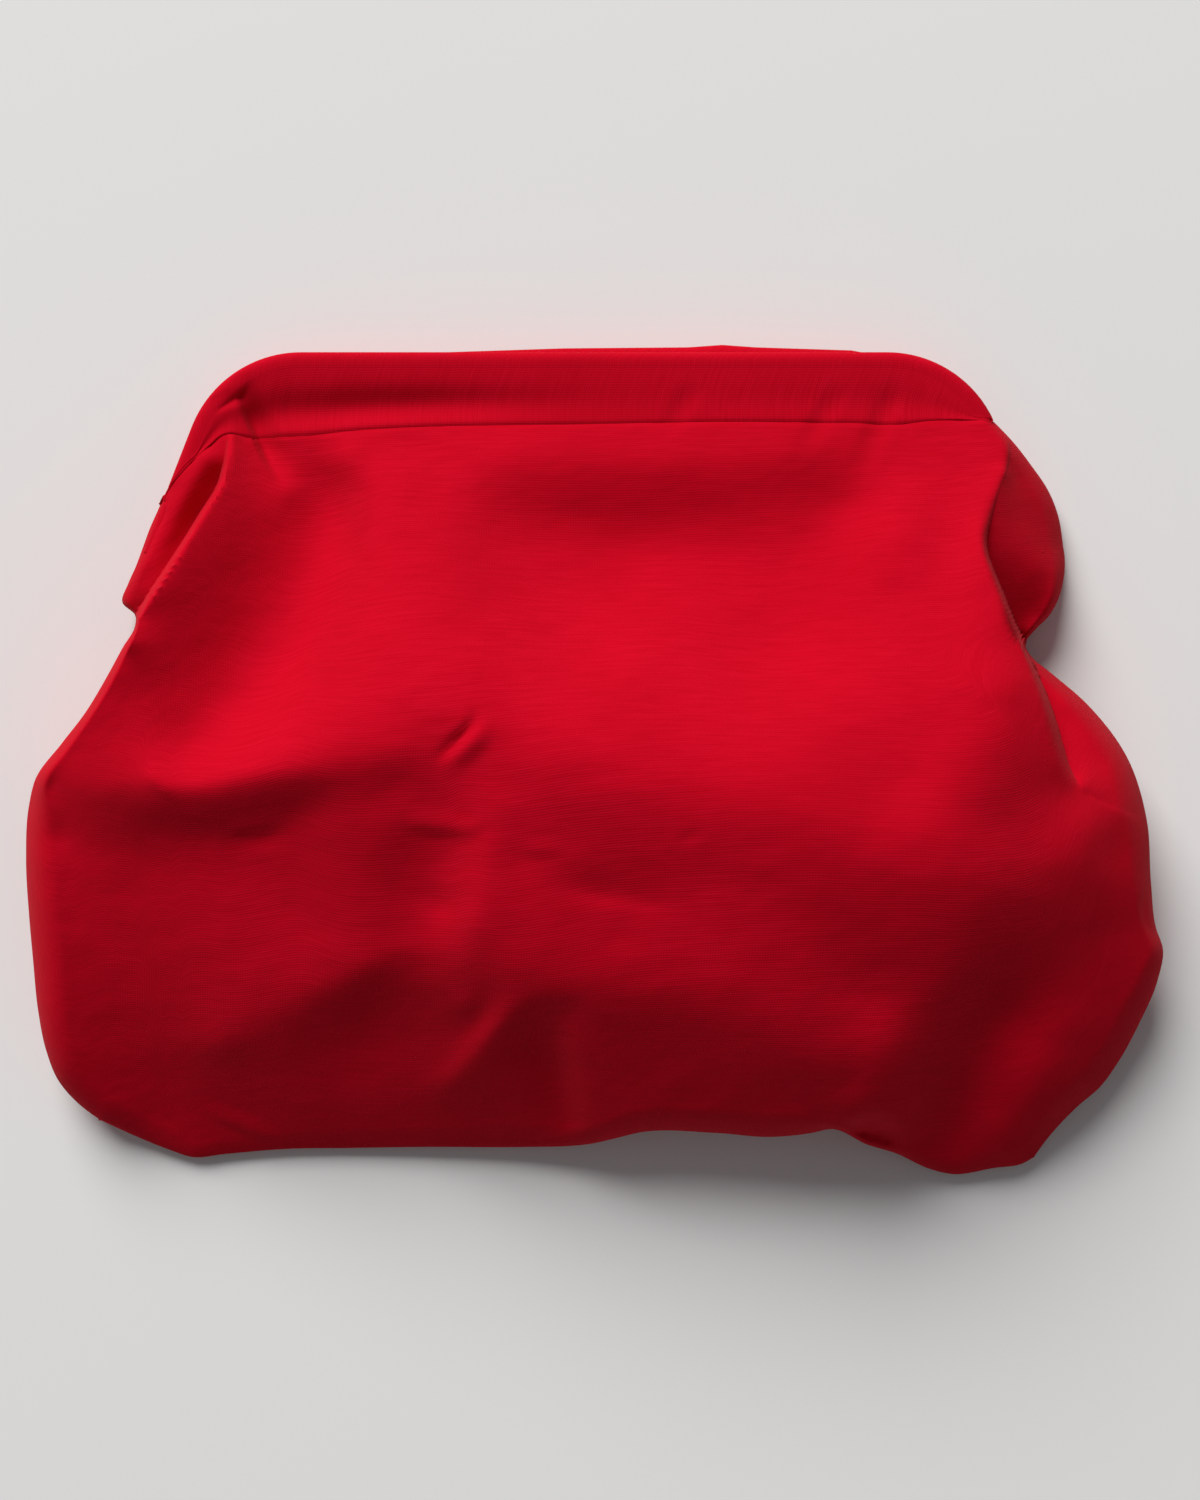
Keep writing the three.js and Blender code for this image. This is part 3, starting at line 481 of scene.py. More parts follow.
def cloth_piece(name, grid, thickness, outward):
    """A closed thin mesh whose outer side is the grid, in millimetres. outward is 1 or -1."""
    rows, columns = grid.shape[:2]
    thin = np.minimum(1, EDGE_SHARE + SHARE_STEP * np.arange(rows)[::-1, None, None])
    inner = grid - grid_normals(grid) * thickness * thin * outward
    places = np.concatenate([grid.reshape(-1, 3), inner.reshape(-1, 3)]) / 1000
    index = np.arange(rows * columns).reshape(rows, columns)
    quads = np.stack([index[:-1, :-1], index[:-1, 1:], index[1:, 1:], index[1:, :-1]], -1).reshape(-1, 4)
    ring = np.concatenate([index[0], index[1:, -1], index[-1, -2::-1], index[-2:0:-1, 0]])
    turn = np.roll(ring, -1)
    rim = np.stack([turn, ring, ring + rows * columns, turn + rows * columns], -1)
    faces = np.concatenate([quads, quads[:, ::-1] + rows * columns, rim])
    if outward < 0:
        faces = faces[:, ::-1]
    mesh = bpy.data.meshes.new(name)
    mesh.from_pydata(places.tolist(), [], faces.tolist())
    across, along = run_along(grid, 1), run_along(grid, 0)
    across -= across[:, columns // 2][:, None]
    along -= along[-1]
    flat = np.stack([across, along], -1).reshape(-1, 2) / 1000
    corners = np.zeros(len(mesh.loops), np.int32)
    mesh.loops.foreach_get("vertex_index", corners)
    layer = mesh.uv_layers.new(name="cloth_lengths")
    layer.data.foreach_set("uv", flat[corners % (rows * columns)].ravel().astype(np.float32))
    mesh.shade_smooth()
    mesh.set_sharp_from_angle(angle=math.radians(SHARP_ANGLE))
    piece = new_object(name, mesh)
    area = sum(face.area for face in mesh.polygons) / 2
    print(name, len(faces) * 2, "triangles,", round(area * 10000), "square centimetres")
    return piece


print("turns over", SHARP_ANGLE, "degrees are edges")

# %% [markdown]
# ## The front panel
# A patch stretched between the four edges gives the grid, closer at the edges where the cloth turns
# sharply. The height at each place is the tent of folds with the creases on it, and near the rim
# it rolls over to the side seam in a quarter round.

# %% A grid between four edges
COLUMN_EVENNESS, ROW_EVENNESS = 0.4, 0.5  # 1 spaces the grid evenly, less crowds it at the edges
GATHER_WIDTH, GATHER_EDGE = 24, 12  # pixels
GATHER_STRENGTH, LEAST_GAP = 0.8, 0.01


def eased(count, even):
    """Shares from 0 to 1 that crowd towards both ends."""
    t = np.linspace(0, 1, count)
    return even * t + (1 - even) * (0.5 - 0.5 * np.cos(np.pi * t))


def patch(left, right, bottom, top):
    """A grid of pixels stretched between four edges."""
    u = eased(top.shape[0], COLUMN_EVENNESS)[None, :, None]
    v = eased(left.shape[0], ROW_EVENNESS)[:, None, None]
    sides = (1 - u) * left[:, None] + u * right[:, None]
    ends = (1 - v) * bottom[None] + v * top[None]
    corners = (1 - v) * ((1 - u) * bottom[0] + u * bottom[-1]) + v * ((1 - u) * top[0] + u * top[-1])
    return sides + ends - corners


def by_length(edge, shares):
    """Places on an edge, at shares of its length."""
    steps = steps_along(edge)
    run = np.concatenate([[0], np.cumsum(steps)]) / steps.sum()
    return np.stack([np.interp(shares, run, edge[:, k]) for k in (0, 1)], -1)


def even_grid(columns, rows, edges):
    """A grid stretched between the left, right, bottom and top edge, from the bottom up."""
    u, v = eased(columns, COLUMN_EVENNESS), eased(rows, ROW_EVENNESS)
    left, right, bottom, top = edges
    return patch(by_length(left, v), by_length(right, v), by_length(bottom, u), by_length(top, u))


def gathered(at):
    """Pixel places drawn towards the dividing lines, so that the steep folds get more of them."""
    rim_gap = nearest_on(rim_line, at)[0]
    seam_gap = nearest_on(casing_seam, at)[0]
    hold = smooth(np.minimum(rim_gap, seam_gap) / GATHER_EDGE)
    for divide in divides:
        gap, share, _ = nearest_on(divide, at)
        foot = np.stack([value_on(divide, share, k) for k in (0, 1)], -1)
        closer = np.clip(gap / GATHER_WIDTH, LEAST_GAP, 1) ** GATHER_STRENGTH
        at = at + ((closer - 1) * hold)[:, None] * (at - foot)
    return at


PANEL_COLUMNS, PANEL_ROWS = 251, 176
front_pixels = even_grid(PANEL_COLUMNS, PANEL_ROWS, (left_edge, right_edge, bottom_edge, casing_seam))
front_pixels = gathered(front_pixels.reshape(-1, 2))
print(len(front_pixels), "places on the front panel")

# %% The height of the front panel at each place
GROOVE_DEPTH, GROOVE_WIDTH = 0.35, 2.2  # millimetres and pixels, where the seam pulls the cloth down
UNEVENNESS, FINE_SHARE = 0.22, 0.4  # millimetres, and the share of it in the fine spots
WIDE_SPOTS, FINE_SPOTS = (40, 26, 0.5), (13, 9, 3)  # pixels across and down, and the noise's layer
GROOVE_STEP = 2  # every so many samples of the seam count


def spots(at, size):
    """Smooth noise between about -1 and 1, with spots of the given width and height."""
    width, height, layer = size
    return np.array([noise.noise((x / width, y / height, layer)) for x, y in at])


def quarter_round(share):
    """Rises from 0 to 1 like a quarter of a circle."""
    return np.sqrt(1 - np.clip(1 - share, 0, 1) ** 2)


def front_height(at):
    """The height of the front panel's outer side at each pixel place."""
    legs = leg_height(at)
    free = body_height(at)
    for divide in divides:
        gap, share, side = nearest_on(divide, at)
        roll = np.where(side > 0, quarter_round(gap / value_on(divide, share, 2)), 0)
        free = legs + (free - legs) * roll
    free += crease_lift(at)
    free += UNEVENNESS * (spots(at, WIDE_SPOTS) + FINE_SHARE * spots(at, FINE_SPOTS))
    seam_gap = nearest_on(casing_seam[::GROOVE_STEP], at)[0]
    free -= GROOVE_DEPTH * np.exp(-((seam_gap / GROOVE_WIDTH) ** 2))
    rim_gap, share, _ = nearest_on(rim_line, at)
    rim, turn = (value_on(rim_line, share, k) for k in (2, 4))
    return rim + (free - rim) * quarter_round(rim_gap / turn)


PANEL_THICKNESS = 0.8  # millimetres of cotton with its interlining, as it shows at an edge
front_z = front_height(front_pixels)
front_places = under_pixel(*front_pixels.T, front_z).reshape(PANEL_ROWS, PANEL_COLUMNS, 3)
front_panel = cloth_piece("cotton_front_panel", front_places, PANEL_THICKNESS, 1)
print("the front rises to", round(float(front_z.max()), 1), "mm")

# %% [markdown]
# ## The rods
# Each casing is a tunnel of the same cotton, folded round one rod of the frame and sewn shut along the
# panel's top edge. The two rods lie one above the other: a straight bar, two rounded corners, and two
# legs that lean outwards. Their middle line gives each casing its course.

# %% The middle line of the rods
LEG_FOOT = (127, 53.6)  # millimetres, as are all sizes here
LEG_LEAN = math.radians(21.3)
CORNER_CENTRE = (83.5, 82.6)
CORNER_RADIUS = 30
ROD_HEIGHT = {"front": 14.9, "back": 4.9}
CORNER_SAMPLES = 24
ROD_RIBS, BARE_RIBS = 341, 5  # ribs of a casing along its rod, and those left out at each end


def rod_line(count):
    """Lengths along a rod from the left foot to the right one, the places there, and the way out."""
    turns = np.linspace(LEG_LEAN, math.pi / 2, CORNER_SAMPLES)
    corner = np.stack([CORNER_RADIUS * np.cos(turns), CORNER_RADIUS * np.sin(turns)], -1) + CORNER_CENTRE
    right = np.concatenate([[LEG_FOOT], corner])
    places = np.concatenate([right * (-1, 1), right[::-1]])
    shares = np.linspace(0, 1, count)
    line = by_length(places, shares)
    forward = np.gradient(line, axis=0)
    outward = np.stack([-forward[:, 1], forward[:, 0]], -1)
    outward /= np.linalg.norm(outward, axis=1, keepdims=True)
    return shares * line_length(places), line, outward


rod_run, rod_places, rod_outward = (part[BARE_RIBS:-BARE_RIBS] for part in rod_line(ROD_RIBS))
print("a rod is", round(float(rod_run[-1])), "mm long")

# %% [markdown]
# ## Wrapping the casings
# A fixed section swept along the rod would look like a stuffed pipe, so the tunnel is drawn as the
# cloth lies. Each rib starts at the seam, sags into a shallow valley, meets the rod on a slightly
# square round and comes back underneath. On the legs it closes as a sleeve under the panel. The front
# casing keeps to its rod. The back one is loose and shows as a second edge along the mouth.

# %% Wrap the casings round the rods
CASING_THICKNESS = 0.35
SLEEVE_RADIUS = 3.55
ROD_COVER = 3.4  # the rod with the cloth's thickness: no crease goes deeper
LEG_TIGHTNESS = 0.15  # the sleeve is this much tighter where the panel covers it
SLEEVE_EDGE = (-3.1, 1.4)  # on the legs the sleeve closes here, seen from the rod's middle
SQUARENESS = 0.75  # 1 is a round, and less is a round that lies flatter on its top
SAG_STEPS, ROUND_STEPS, UNDER_STEPS = 24, 17, 7  # of a rib: seam to rod, round it, and back under it
CASING_TOP = 30  # this many steps of a rib are its upper side
EDGE_PAST_ROD = {"front": 2.6, "back": -3.2}  # how far outside the rod's middle a casing's edge may lie
TIGHTENING = 2  # over this distance past that limit the casing goes from slack to tight
PAST_SEAM, LEAST_PAST = 0.3, -0.8  # a rib meets the rod so far past the seam, but not before this
MOST_PAST = 0.9  # and not after this share of the radius
GROOVE_SHARE = 0.03  # of the way from the seam to the rod
SAG_MIDDLE, SAG_WIDTH, SAG_START = 0.38, 0.26, 0.12  # shares of that way
ROUND_START, UNDER_START = 0.03, 0.15  # first steps, as shares of their stretch
SLEEVE_CLOSING = 0.6  # half turns that a sleeve goes on past the underside
UNDER_RISE = 0.9  # the cloth under the rod rises so far towards the seam
# along the rod, and the pixel across of the seam beside it
SEAM_BESIDE_ROD = [(21, 160), (43, 208), (55, 236), (79, 292), (246, 893), (269, 945), (280, 994)]
# pixel across, and how deep the cloth sags between the seam and the rod
CASING_SAG = [
    (160, 0.2), (240, 0.6), (285, 2.2), (340, 2.6), (400, 2.5), (470, 1.7), (540, 0.8), (600, 0.3),
    (700, 0.2), (790, 0.35), (850, 0.4), (900, 0.6), (960, 0.2), (994, 0.1),
]
# pixel across, and how far the loose back casing hangs out past the front one
BACK_LOOSENESS = [
    (300, 0), (420, 1.5), (560, 2.8), (690, 3.1), (725, 3.8), (760, 3.1), (860, 2.2), (900, 0),
]


def pixels_of(places):
    """The pixels where the photograph shows places in millimetres."""
    scale = VIEW_WIDTH / PHOTO_WIDTH * (1 - places[..., 2] / CAMERA_HEIGHT)
    px = (places[..., 0] - CAMERA_PLACE[0]) / scale + PHOTO_WIDTH / 2
    py = PHOTO_HEIGHT / 2 - (places[..., 1] - CAMERA_PLACE[1]) / scale
    return np.stack([px, py], -1)


def round_rod(angle):
    """How far outwards and how far up a casing lies at an angle round the rod, for a radius of one."""
    return [np.sign(part) * np.abs(part) ** SQUARENESS for part in (np.sin(angle), np.cos(angle))]


def wrap_casing(half, seam_line):
    """The outer side of a casing: one row for each rib, from the seam over the rod and back under it."""
    up = 1 if half == "front" else -1
    rod_z = ROD_HEIGHT[half]
    beside = np.interp(rod_run, *zip(*SEAM_BESIDE_ROD))
    seam = np.stack([np.interp(beside, casing_seam[:, 0], seam_line[:, k]) for k in range(3)], -1)
    past = ((seam[:, :2] - rod_places) * rod_outward).sum(1) - EDGE_PAST_ROD[half]
    seam[:, :2] -= np.maximum(past, 0)[:, None] * rod_outward
    tight = smooth(past / TIGHTENING)
    sleeve = (rod_run < SEAM_BESIDE_ROD[0][0]) | (rod_run > SEAM_BESIDE_ROD[-1][0])
    if half == "back":
        seam[:, 2] += tight * (rod_z - SLEEVE_EDGE[1] - seam[:, 2])
    inside = rod_places + SLEEVE_EDGE[0] * rod_outward
    seam[sleeve] = np.column_stack([inside, np.full(len(past), rod_z + up * SLEEVE_EDGE[1])])[sleeve]
    radius = SLEEVE_RADIUS - LEG_TIGHTNESS * np.where(sleeve, 1, tight)
    offset = ((seam[:, :2] - rod_places) * rod_outward).sum(1)
    first = np.arcsin(np.clip(offset + PAST_SEAM, LEAST_PAST, MOST_PAST * radius) / radius)

    def on_rod(angle, loose=0):
        out, over = round_rod(angle)
        place = rod_places + ((radius + loose) * out)[:, None] * rod_outward
        return np.column_stack([place, rod_z + up * radius * over])

    top = on_rod(first)
    sag = np.interp(beside, *zip(*CASING_SAG))
    loose = np.interp(beside, *zip(*BACK_LOOSENESS)) if half == "back" else np.zeros(len(beside))
    rows = []
    for t in eased(SAG_STEPS, ROW_EVENNESS):
        groove = GROOVE_DEPTH * math.exp(-((t / GROOVE_SHARE) ** 2))
        bowl = math.exp(-(((t - SAG_MIDDLE) / SAG_WIDTH) ** 2)) * (1 - math.exp(-((t / SAG_START) ** 2)))
        row = seam * (1 - t) + top * t
        row[:, 2] -= up * (1 - tight) * (groove + bowl * sag)
        rows.append(row)
    for t in np.linspace(ROUND_START, 1, ROUND_STEPS):
        rows.append(on_rod(first * (1 - t) + math.pi * t, loose))
    for t in np.linspace(UNDER_START, 1, UNDER_STEPS):
        closed = on_rod(math.pi * (1 + SLEEVE_CLOSING * t))
        place = rod_places * (1 - t) + seam[:, :2] * t
        under = np.column_stack([place, rod_z - up * (radius - UNDER_RISE * t)])
        rows.append(np.where(sleeve[:, None], closed, under))
    return np.stack(rows, axis=1)


seam_places = under_pixel(*casing_seam.T)
casing_places = wrap_casing("front", seam_places)
upper = casing_places[:, :CASING_TOP]  # shaped in place
upper[..., 2] += crease_lift(pixels_of(upper).reshape(-1, 2)).reshape(upper.shape[:2])
from_rod = ((upper[..., :2] - rod_places[:, None]) * rod_outward[:, None]).sum(-1)
rod_top = ROD_HEIGHT["front"] + np.sqrt(np.clip(ROD_COVER**2 - from_rod**2, 0, None))
rod_top[np.abs(from_rod) > ROD_COVER] = 0
upper[..., 2] = np.maximum(upper[..., 2], rod_top)
front_casing = cloth_piece("cotton_front_casing", casing_places, CASING_THICKNESS, -1)

# %% [markdown]
# ## The back panel
# The back lies on the table. It has the outline of the front, meets it at the side seam, and rolls
# under in a wide curve. Above the hinges it is a separate layer and covers the legs of the back rod
# as the front does, so the two halves can part there.

# %% Lay out and shape the back panel
BACK_THICKNESS = 0.7
BACK_COLUMNS, BACK_ROWS = 161, 111
BACK_ROLL, LEG_ROLL = 24, 5  # how wide the cloth curves from the side seam to the table
BACK_REST = 0.15  # the back's height over the table
BACK_SEAM_HEIGHT, BACK_SEAM_STEP = 2.3, 3
SEAM_RISE, RIM_EASE = 9, 6  # how wide the rise to the seam is, and how close to the rim it ends
RIPPLE_HEIGHT, RIPPLE_SPOTS = 0.9, (22, 30, 8)
RIPPLE_RIM, RIPPLE_SEAM = 30, 20  # the ripples fade this close to the rim and to the seam
LEFT_HINGE_ROW, RIGHT_HINGE_ROW = 619, 643  # pixels down, where front and back part
NECK_START, NECK_EASE = 6, 60  # pixels: they start to part so far below the hinges, over so long
RIM_GAP = 0.2  # the back's rim lies this far under the front's, or further
LEG_RIM = 6.5  # its height beside the legs


def back_edge(edge, neck):
    """The rim of the back panel in millimetres, with the width of its roll."""
    places = under_pixel(*edge[:, :3].T)
    leg = smooth((neck + NECK_START - edge[:, 1]) / NECK_EASE)
    rim = np.minimum(places[:, 2] - RIM_GAP, places[:, 2] + leg * (LEG_RIM - places[:, 2]))
    return np.column_stack([places[:, :2], rim, BACK_ROLL + leg * (LEG_ROLL - BACK_ROLL)])


back_left = back_edge(left_edge, LEFT_HINGE_ROW)
back_right = back_edge(right_edge, RIGHT_HINGE_ROW)
back_bottom = back_edge(bottom_edge, 0)
back_rim = np.concatenate([back_left[::-1], back_bottom[1:], back_right[1:]])
back_seam = np.column_stack([seam_places[:, :2], np.full(EDGE_SAMPLES, BACK_SEAM_HEIGHT)])


def back_height(at):
    """The height of the back panel's outer side at each place in millimetres."""
    gap, share, _ = nearest_on(back_rim, at)
    rim, roll = (value_on(back_rim, share, k) for k in (2, 3))
    seam_gap = nearest_on(back_seam[::BACK_SEAM_STEP], at)[0]
    rise = BACK_SEAM_HEIGHT * np.exp(-((seam_gap / SEAM_RISE) ** 2)) * np.clip(gap / RIM_EASE, 0, 1)
    calm = smooth(gap / RIPPLE_RIM) * smooth(seam_gap / RIPPLE_SEAM)
    rest = BACK_REST + rise + RIPPLE_HEIGHT * np.clip(spots(at, RIPPLE_SPOTS), 0, 1) * calm
    return rim + (rest - rim) * quarter_round(gap / roll)


back_edges = (back_left, back_right, back_bottom, back_seam)
back_flat = even_grid(BACK_COLUMNS, BACK_ROWS, back_edges).reshape(-1, 2)
back_places = np.column_stack([back_flat, back_height(back_flat)]).reshape(BACK_ROWS, BACK_COLUMNS, 3)
back_panel = cloth_piece("cotton_back_panel", back_places, BACK_THICKNESS, -1)
back_casing = cloth_piece("cotton_back_casing", wrap_casing("back", back_seam), CASING_THICKNESS, 1)

# %% [markdown]
# ## The lining
# A lining hangs inside each half, sewn in with the casing at the mouth and with the side seam below.
# Only its upper part shows when the mouth is open. Each follows its panel a little inside it, on a
# coarser grid. The front one takes the panel's lowest height nearby, so that it never shows through.

# %% Hang the linings inside the panels
LINING_THICKNESS = 0.4
LINING_COLUMNS, LINING_ROWS = 61, 45
LINING_INSET = 4.5
LINING_DROP = {"front": 1.7, "back": 1}
LINING_REACH, LINING_MARGIN = 2.5, 0.1  # how far it looks for the lowest cloth, and past the nearest
LINING_GAP = 0.8  # between the two linings, at least
LINING_PASSES = 8
BAG_MIDDLE = (0, 5)


def inset(edge, distance):
    """An edge moved towards the middle of the bag, in millimetres."""
    gap = BAG_MIDDLE - edge[:, :2]
    return edge[:, :2] + distance * gap / np.linalg.norm(gap, axis=1, keepdims=True)


def lowest_near(at, places, reach):
    """The lowest height among the places within reach of each point."""
    heights = np.zeros(len(at))
    for i, point in enumerate(at):
        gap = np.abs(places[:, :2] - point).max(1)
        near = gap < max(reach, gap.min() + LINING_MARGIN)
        heights[i] = places[near, 2].min()
    return heights


lining_edges = [inset(edge, LINING_INSET) for edge in back_edges]
lining_flat = even_grid(LINING_COLUMNS, LINING_ROWS, lining_edges).reshape(-1, 2)
front_under = lowest_near(lining_flat, front_places.reshape(-1, 3), LINING_REACH)
front_under = (front_under - LINING_DROP["front"]).reshape(LINING_ROWS, LINING_COLUMNS)
for _ in range(LINING_PASSES):  # the lining hangs slack, so it cuts across each steep fold of the panel
    wide = np.pad(front_under, 1, mode="edge")
    beside = (wide[:-2, 1:-1] + wide[2:, 1:-1] + wide[1:-1, :-2] + wide[1:-1, 2:]) / 4
    front_under = np.minimum(front_under, beside)
back_over = back_height(lining_flat) + LINING_DROP["back"]
front_under = np.maximum(front_under.ravel(), back_over + LINING_GAP)


def hang(name, heights, outward):
    places = np.column_stack([lining_flat, heights]).reshape(LINING_ROWS, LINING_COLUMNS, 3)
    return cloth_piece(name, places, LINING_THICKNESS, outward)


front_lining = hang("cotton_front_lining", front_under, 1)
back_lining = hang("cotton_back_lining", back_over, -1)

# %% [markdown]
# ## Colours and shader nodes
# Colours are written as sRGB hex, as a screen shows them. Shaders work in linear light, so one function
# converts them. Another adds a node, fills or links its sockets and gives back the output in use.

# %% Colours and nodes
def linear(hex_colour):
    """An sRGB hex colour as linear red, green, blue and alpha."""
    parts = [int(hex_colour[i : i + 2], 16) / 255 for i in (1, 3, 5)]
    return (*[p / 12.92 if p <= 0.04045 else ((p + 0.055) / 1.055) ** 2.4 for p in parts], 1)


def add(tree, kind, sockets=(), output=0, **settings):
    """Adds a node with its properties, and a value or a link for each socket. Returns an output."""
    node = tree.nodes.new("ShaderNode" + kind)
    for name, value in settings.items():
        setattr(node, name, value)
    for socket, source in dict(sockets).items():
        if isinstance(source, bpy.types.NodeSocket):
            tree.links.new(source, node.inputs[socket])
        else:
            node.inputs[socket].default_value = source
    return node.outputs[output] if node.outputs else None


def new_material(name):
    material = bpy.data.materials.new(name)
    material.use_nodes = True
    material.node_tree.nodes.clear()
    return material, material.node_tree


def span(tree, value, *limits):
    """Moves a value from one range to another. The limits are both ends before, then both after."""
    ends = zip(("From Min", "From Max", "To Min", "To Max"), limits)
    return add(tree, "MapRange", {"Value": value, **dict(ends)})


def surface(tree, sockets):
    """Ends a material with one surface shader."""
    add(tree, "OutputMaterial", {"Surface": add(tree, "BsdfPrincipled", sockets)})


print("colours and nodes ready")

# %% [markdown]
# ## Cotton
# The bag is cotton poplin, a plain weave with fine threads across and along. Cotton is matt: almost no
# highlight, a trace of sheen where the fibres catch light at the edge of a fold, and thin uneven
# threads that show as faint lines across the cloth. Real threads are about a quarter of a millimetre
# apart and would vanish in the picture, so the weave is drawn coarser, and the slubs at their own size.
# The texture uses the lengths along the cloth, so it bends with the folds.

# %% Red cotton poplin, and the lining's cotton
WEAVE_SPACING = 0.0007  # metres between drawn threads, almost three times the real spacing
SLUB_LENGTH, SLUB_WIDTH = 0.014, 0.0009  # metres, an uneven thread
CLOUD_SIZE = 0.05  # metres, the faint patches where the dye took unevenly
WAVE_TURNS = 20  # Blender's wave texture counts its bands in twentieths of a turn


def cotton(name, colour, slub_colour, cloud_colour):
    material, tree = new_material(name)
    lengths = add(tree, "UVMap", uv_map="cloth_lengths")
    bands = 2 * math.pi / (WAVE_TURNS * WEAVE_SPACING)
    thread = {"Vector": lengths, "Scale": bands, "Distortion": 1.2, "Detail": 1, "Detail Scale": 0.5}
    weft, warp = (add(tree, "TexWave", thread, "Fac", bands_direction=way) for way in "YX")
    weave = add(tree, "Math", {0: weft, 1: warp}, operation="MULTIPLY")
    stretched = add(tree, "Mapping", {"Vector": lengths, "Scale": (1 / SLUB_LENGTH, 1 / SLUB_WIDTH, 1)})
    slub = {"Vector": stretched, "Scale": 1, "Detail": 3, "Roughness": 0.6}
    slubs = add(tree, "TexNoise", slub, "Fac")
    clouds = add(tree, "TexNoise", {"Vector": lengths, "Scale": 1 / CLOUD_SIZE, "Detail": 3}, "Fac")
    uneven = span(tree, slubs, 0.35, 0.7, 0, 1)
    threads = {0: uneven, 6: linear(colour), 7: linear(slub_colour)}
    threads = add(tree, "Mix", threads, 2, data_type="RGBA")
    patchy = span(tree, clouds, 0.35, 0.65, 0, 0.5)
    dyed = add(tree, "Mix", {0: patchy, 6: threads, 7: linear(cloud_colour)}, 2, data_type="RGBA")
    relief = add(tree, "Math", {0: slubs, 1: weave}, operation="ADD")
    bump = add(tree, "Bump", {"Height": relief, "Strength": 0.24, "Distance": 0.00025})
    surface(tree, {
        "Base Color": dyed, "Roughness": 0.85, "Specular IOR Level": 0.03, "Sheen Weight": 0.02,
        "Sheen Roughness": 0.5, "Normal": bump})
    return material


poplin = cotton("red_cotton_poplin", "#bc021b", "#c70622", "#b30218")
lining = cotton("red_lining_cotton", "#a2031a", "#ae0721", "#990216")
outer_pieces = (front_panel, front_casing, back_panel, back_casing)
lining_pieces = (front_lining, back_lining)
for piece in outer_pieces:
    piece.data.materials.append(poplin)
for piece in lining_pieces:
    piece.data.materials.append(lining)
print(len(poplin.node_tree.nodes), "nodes in the cotton")

# %% [markdown]
# ## Nickel-plated steel
# The hinged frame inside the casings is bent steel rod with riveted hinges. It shows only when the mouth
# is wide open. Nickel plating gives a slightly warm grey metal, smooth with a few fine rubbed streaks.

# %% Nickel-plated steel on the frame and hinges
RUB_SIZE = 0.002  # metres, a rubbed streak
nickel, tree = new_material("nickel_plated_steel")
places = add(tree, "TexCoord", output="Object")
rubbed = add(tree, "TexNoise", {"Vector": places, "Scale": 1 / RUB_SIZE, "Detail": 4}, "Fac")
rough = span(tree, rubbed, 0.3, 0.7, 0.18, 0.36)
bump = add(tree, "Bump", {"Height": rubbed, "Strength": 0.1, "Distance": 0.0001})
surface(tree, {"Base Color": linear("#c8c5bd"), "Metallic": 1, "Roughness": rough, "Normal": bump})
steel_names = [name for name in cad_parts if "frame" in name or "hinge" in name]
for name in steel_names:
    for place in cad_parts[name].material_slots:
        place.material = nickel
print("steel on", len(steel_names), "pieces")

# %% [markdown]
# ## What moves with what
# The front half of the frame turns on the hinges and carries the front casing. In the bag the front
# panel and its lining follow that casing at the mouth and stay with the bag below the hinges; here they
# keep their places and join no body. All else stays with the bag. Each cloth piece takes the place of
# its plain solid.

# %% Join the pieces to the moving bodies
for piece in (front_panel, front_lining):
    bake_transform(piece)
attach(front_casing, "front_half")
for piece in (back_panel, back_casing, back_lining):
    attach(piece, "bag")
for piece in outer_pieces + lining_pieces:
    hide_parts(piece.name.removeprefix("cotton_"))

# %% [markdown]
# ## The flat cloth
# Each piece was cut flat and gathered onto the frame. A panel is wider and longer than it looks, as its
# slack stands up in folds. The sizes come from the lengths measured along the finished surfaces, and
# the area is that of the rounded piece inside its rectangle.

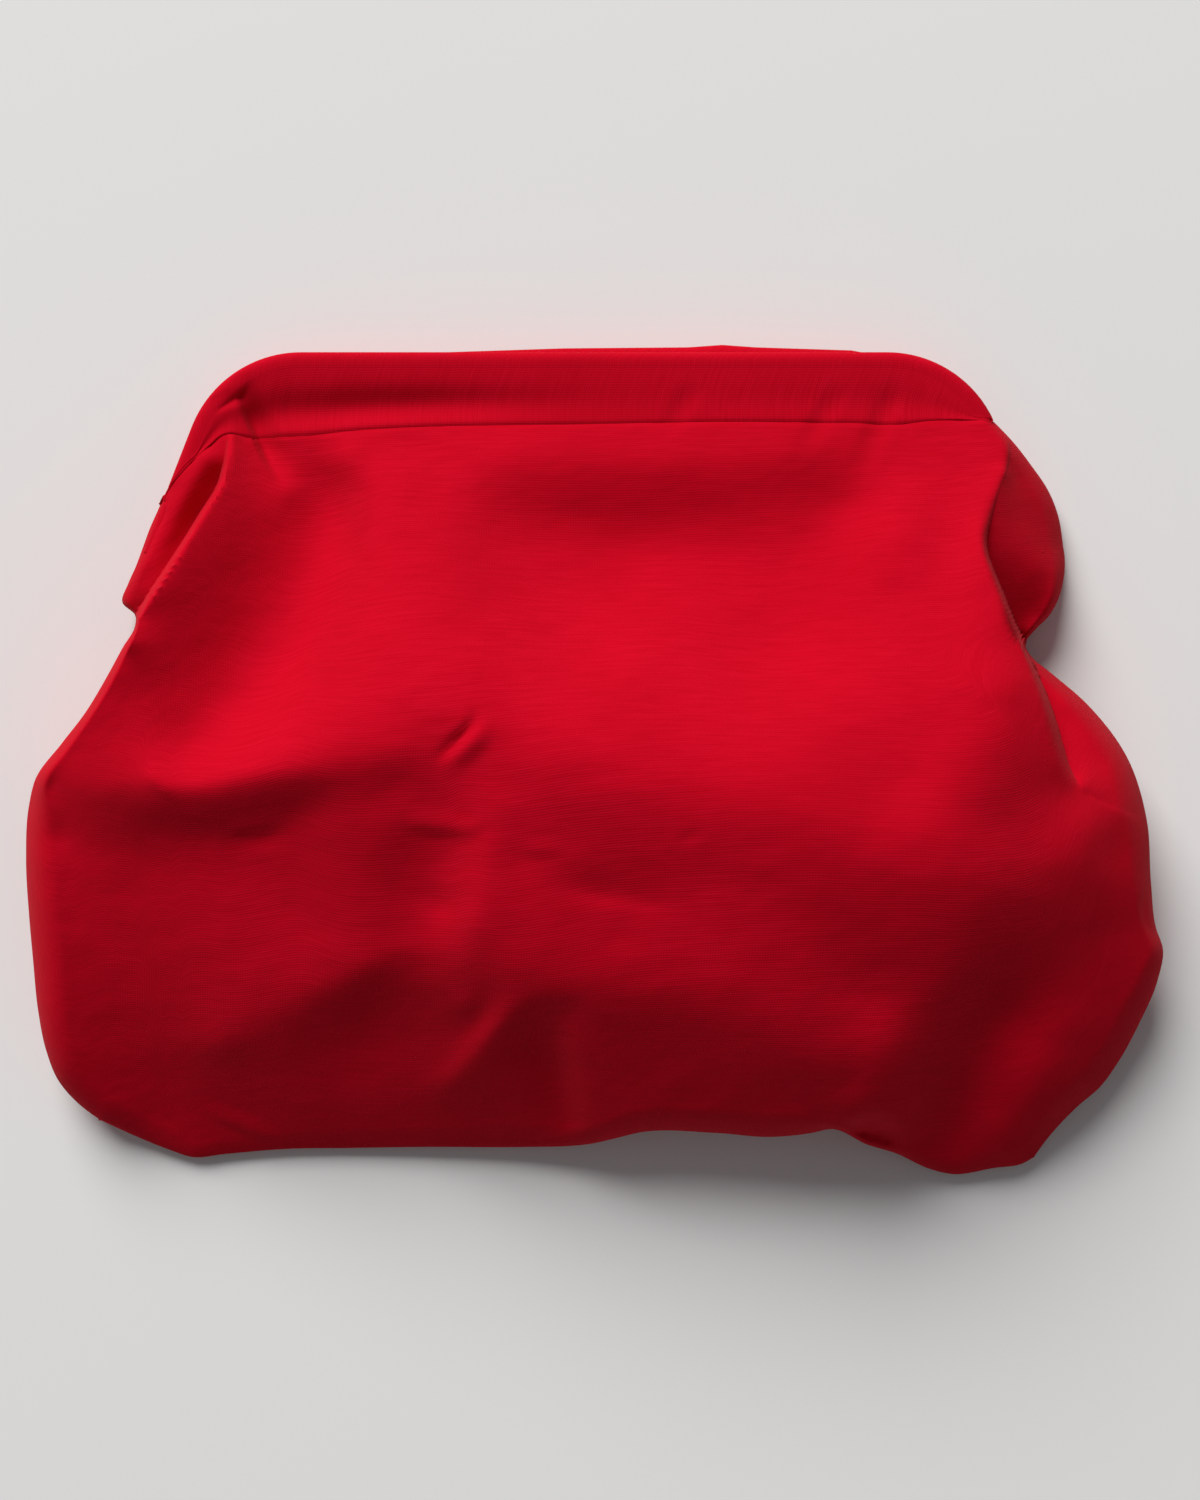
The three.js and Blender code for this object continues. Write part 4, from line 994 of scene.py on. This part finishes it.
# %% Say what each cloth was cut from
CUT_SIZES = {  # width, length and area, in metres
    "cotton_front_panel": (0.36, 0.26, 0.078), "cotton_back_panel": (0.34, 0.235, 0.065),
    "cotton_front_lining": (0.35, 0.25, 0.072), "cotton_back_lining": (0.33, 0.225, 0.059),
    "cotton_front_casing": (0.33, 0.055, 0.013), "cotton_back_casing": (0.33, 0.055, 0.013),
}
for name, (width, length, area) in CUT_SIZES.items():
    print(name, "was cut from", round(1000 * width), "by", round(1000 * length), "mm")

# %% [markdown]
# ## Table and light
# The bag lies on a plain pale table. The light of the photograph is one broad soft source beyond the
# mouth, a little to the left, and low enough to shade the cloth that falls towards the bottom fold. A
# large disc lamp and a dim even room give the same shading, with soft shadows on the table.

# %% Set the table and the light
TABLE_HALF = 2  # metres
TABLE_TOP = -0.0003  # metres, just under the cloth
WINDOW_PLACE, WINDOW_SIZE = (-2.8, 6.9, 5.0), 6  # metres
WINDOW_WATTS, ROOM_STRENGTH = 1065, 0.185
table_mesh = bpy.data.meshes.new("table")
corners = [(x * TABLE_HALF, y * TABLE_HALF, TABLE_TOP) for x, y in ((-1, -1), (1, -1), (1, 1), (-1, 1))]
table_mesh.from_pydata(corners, [], [(0, 1, 2, 3)])
table = new_object("table", table_mesh)
paint, tree = new_material("pale_table_paint")
surface(tree, {"Base Color": linear("#ecebe9"), "Roughness": 0.7, "Specular IOR Level": 0.2})
table_mesh.materials.append(paint)

window = new_object("window", bpy.data.lights.new("window", "AREA"))
window.data.shape = "DISK"
window.data.size = WINDOW_SIZE
window.data.energy = WINDOW_WATTS
window.location = WINDOW_PLACE
window.rotation_euler = (-Vector(WINDOW_PLACE)).to_track_quat("-Z", "Y").to_euler()

world = bpy.data.worlds.new("room")
world.use_nodes = True
room = world.node_tree.nodes["Background"].inputs
room["Color"].default_value = linear("#e8eaee")
room["Strength"].default_value = ROOM_STRENGTH
bpy.context.scene.world = world
bpy.context.scene.view_settings.view_transform = "Standard"
print("one lamp, at", WINDOW_PLACE, "metres")
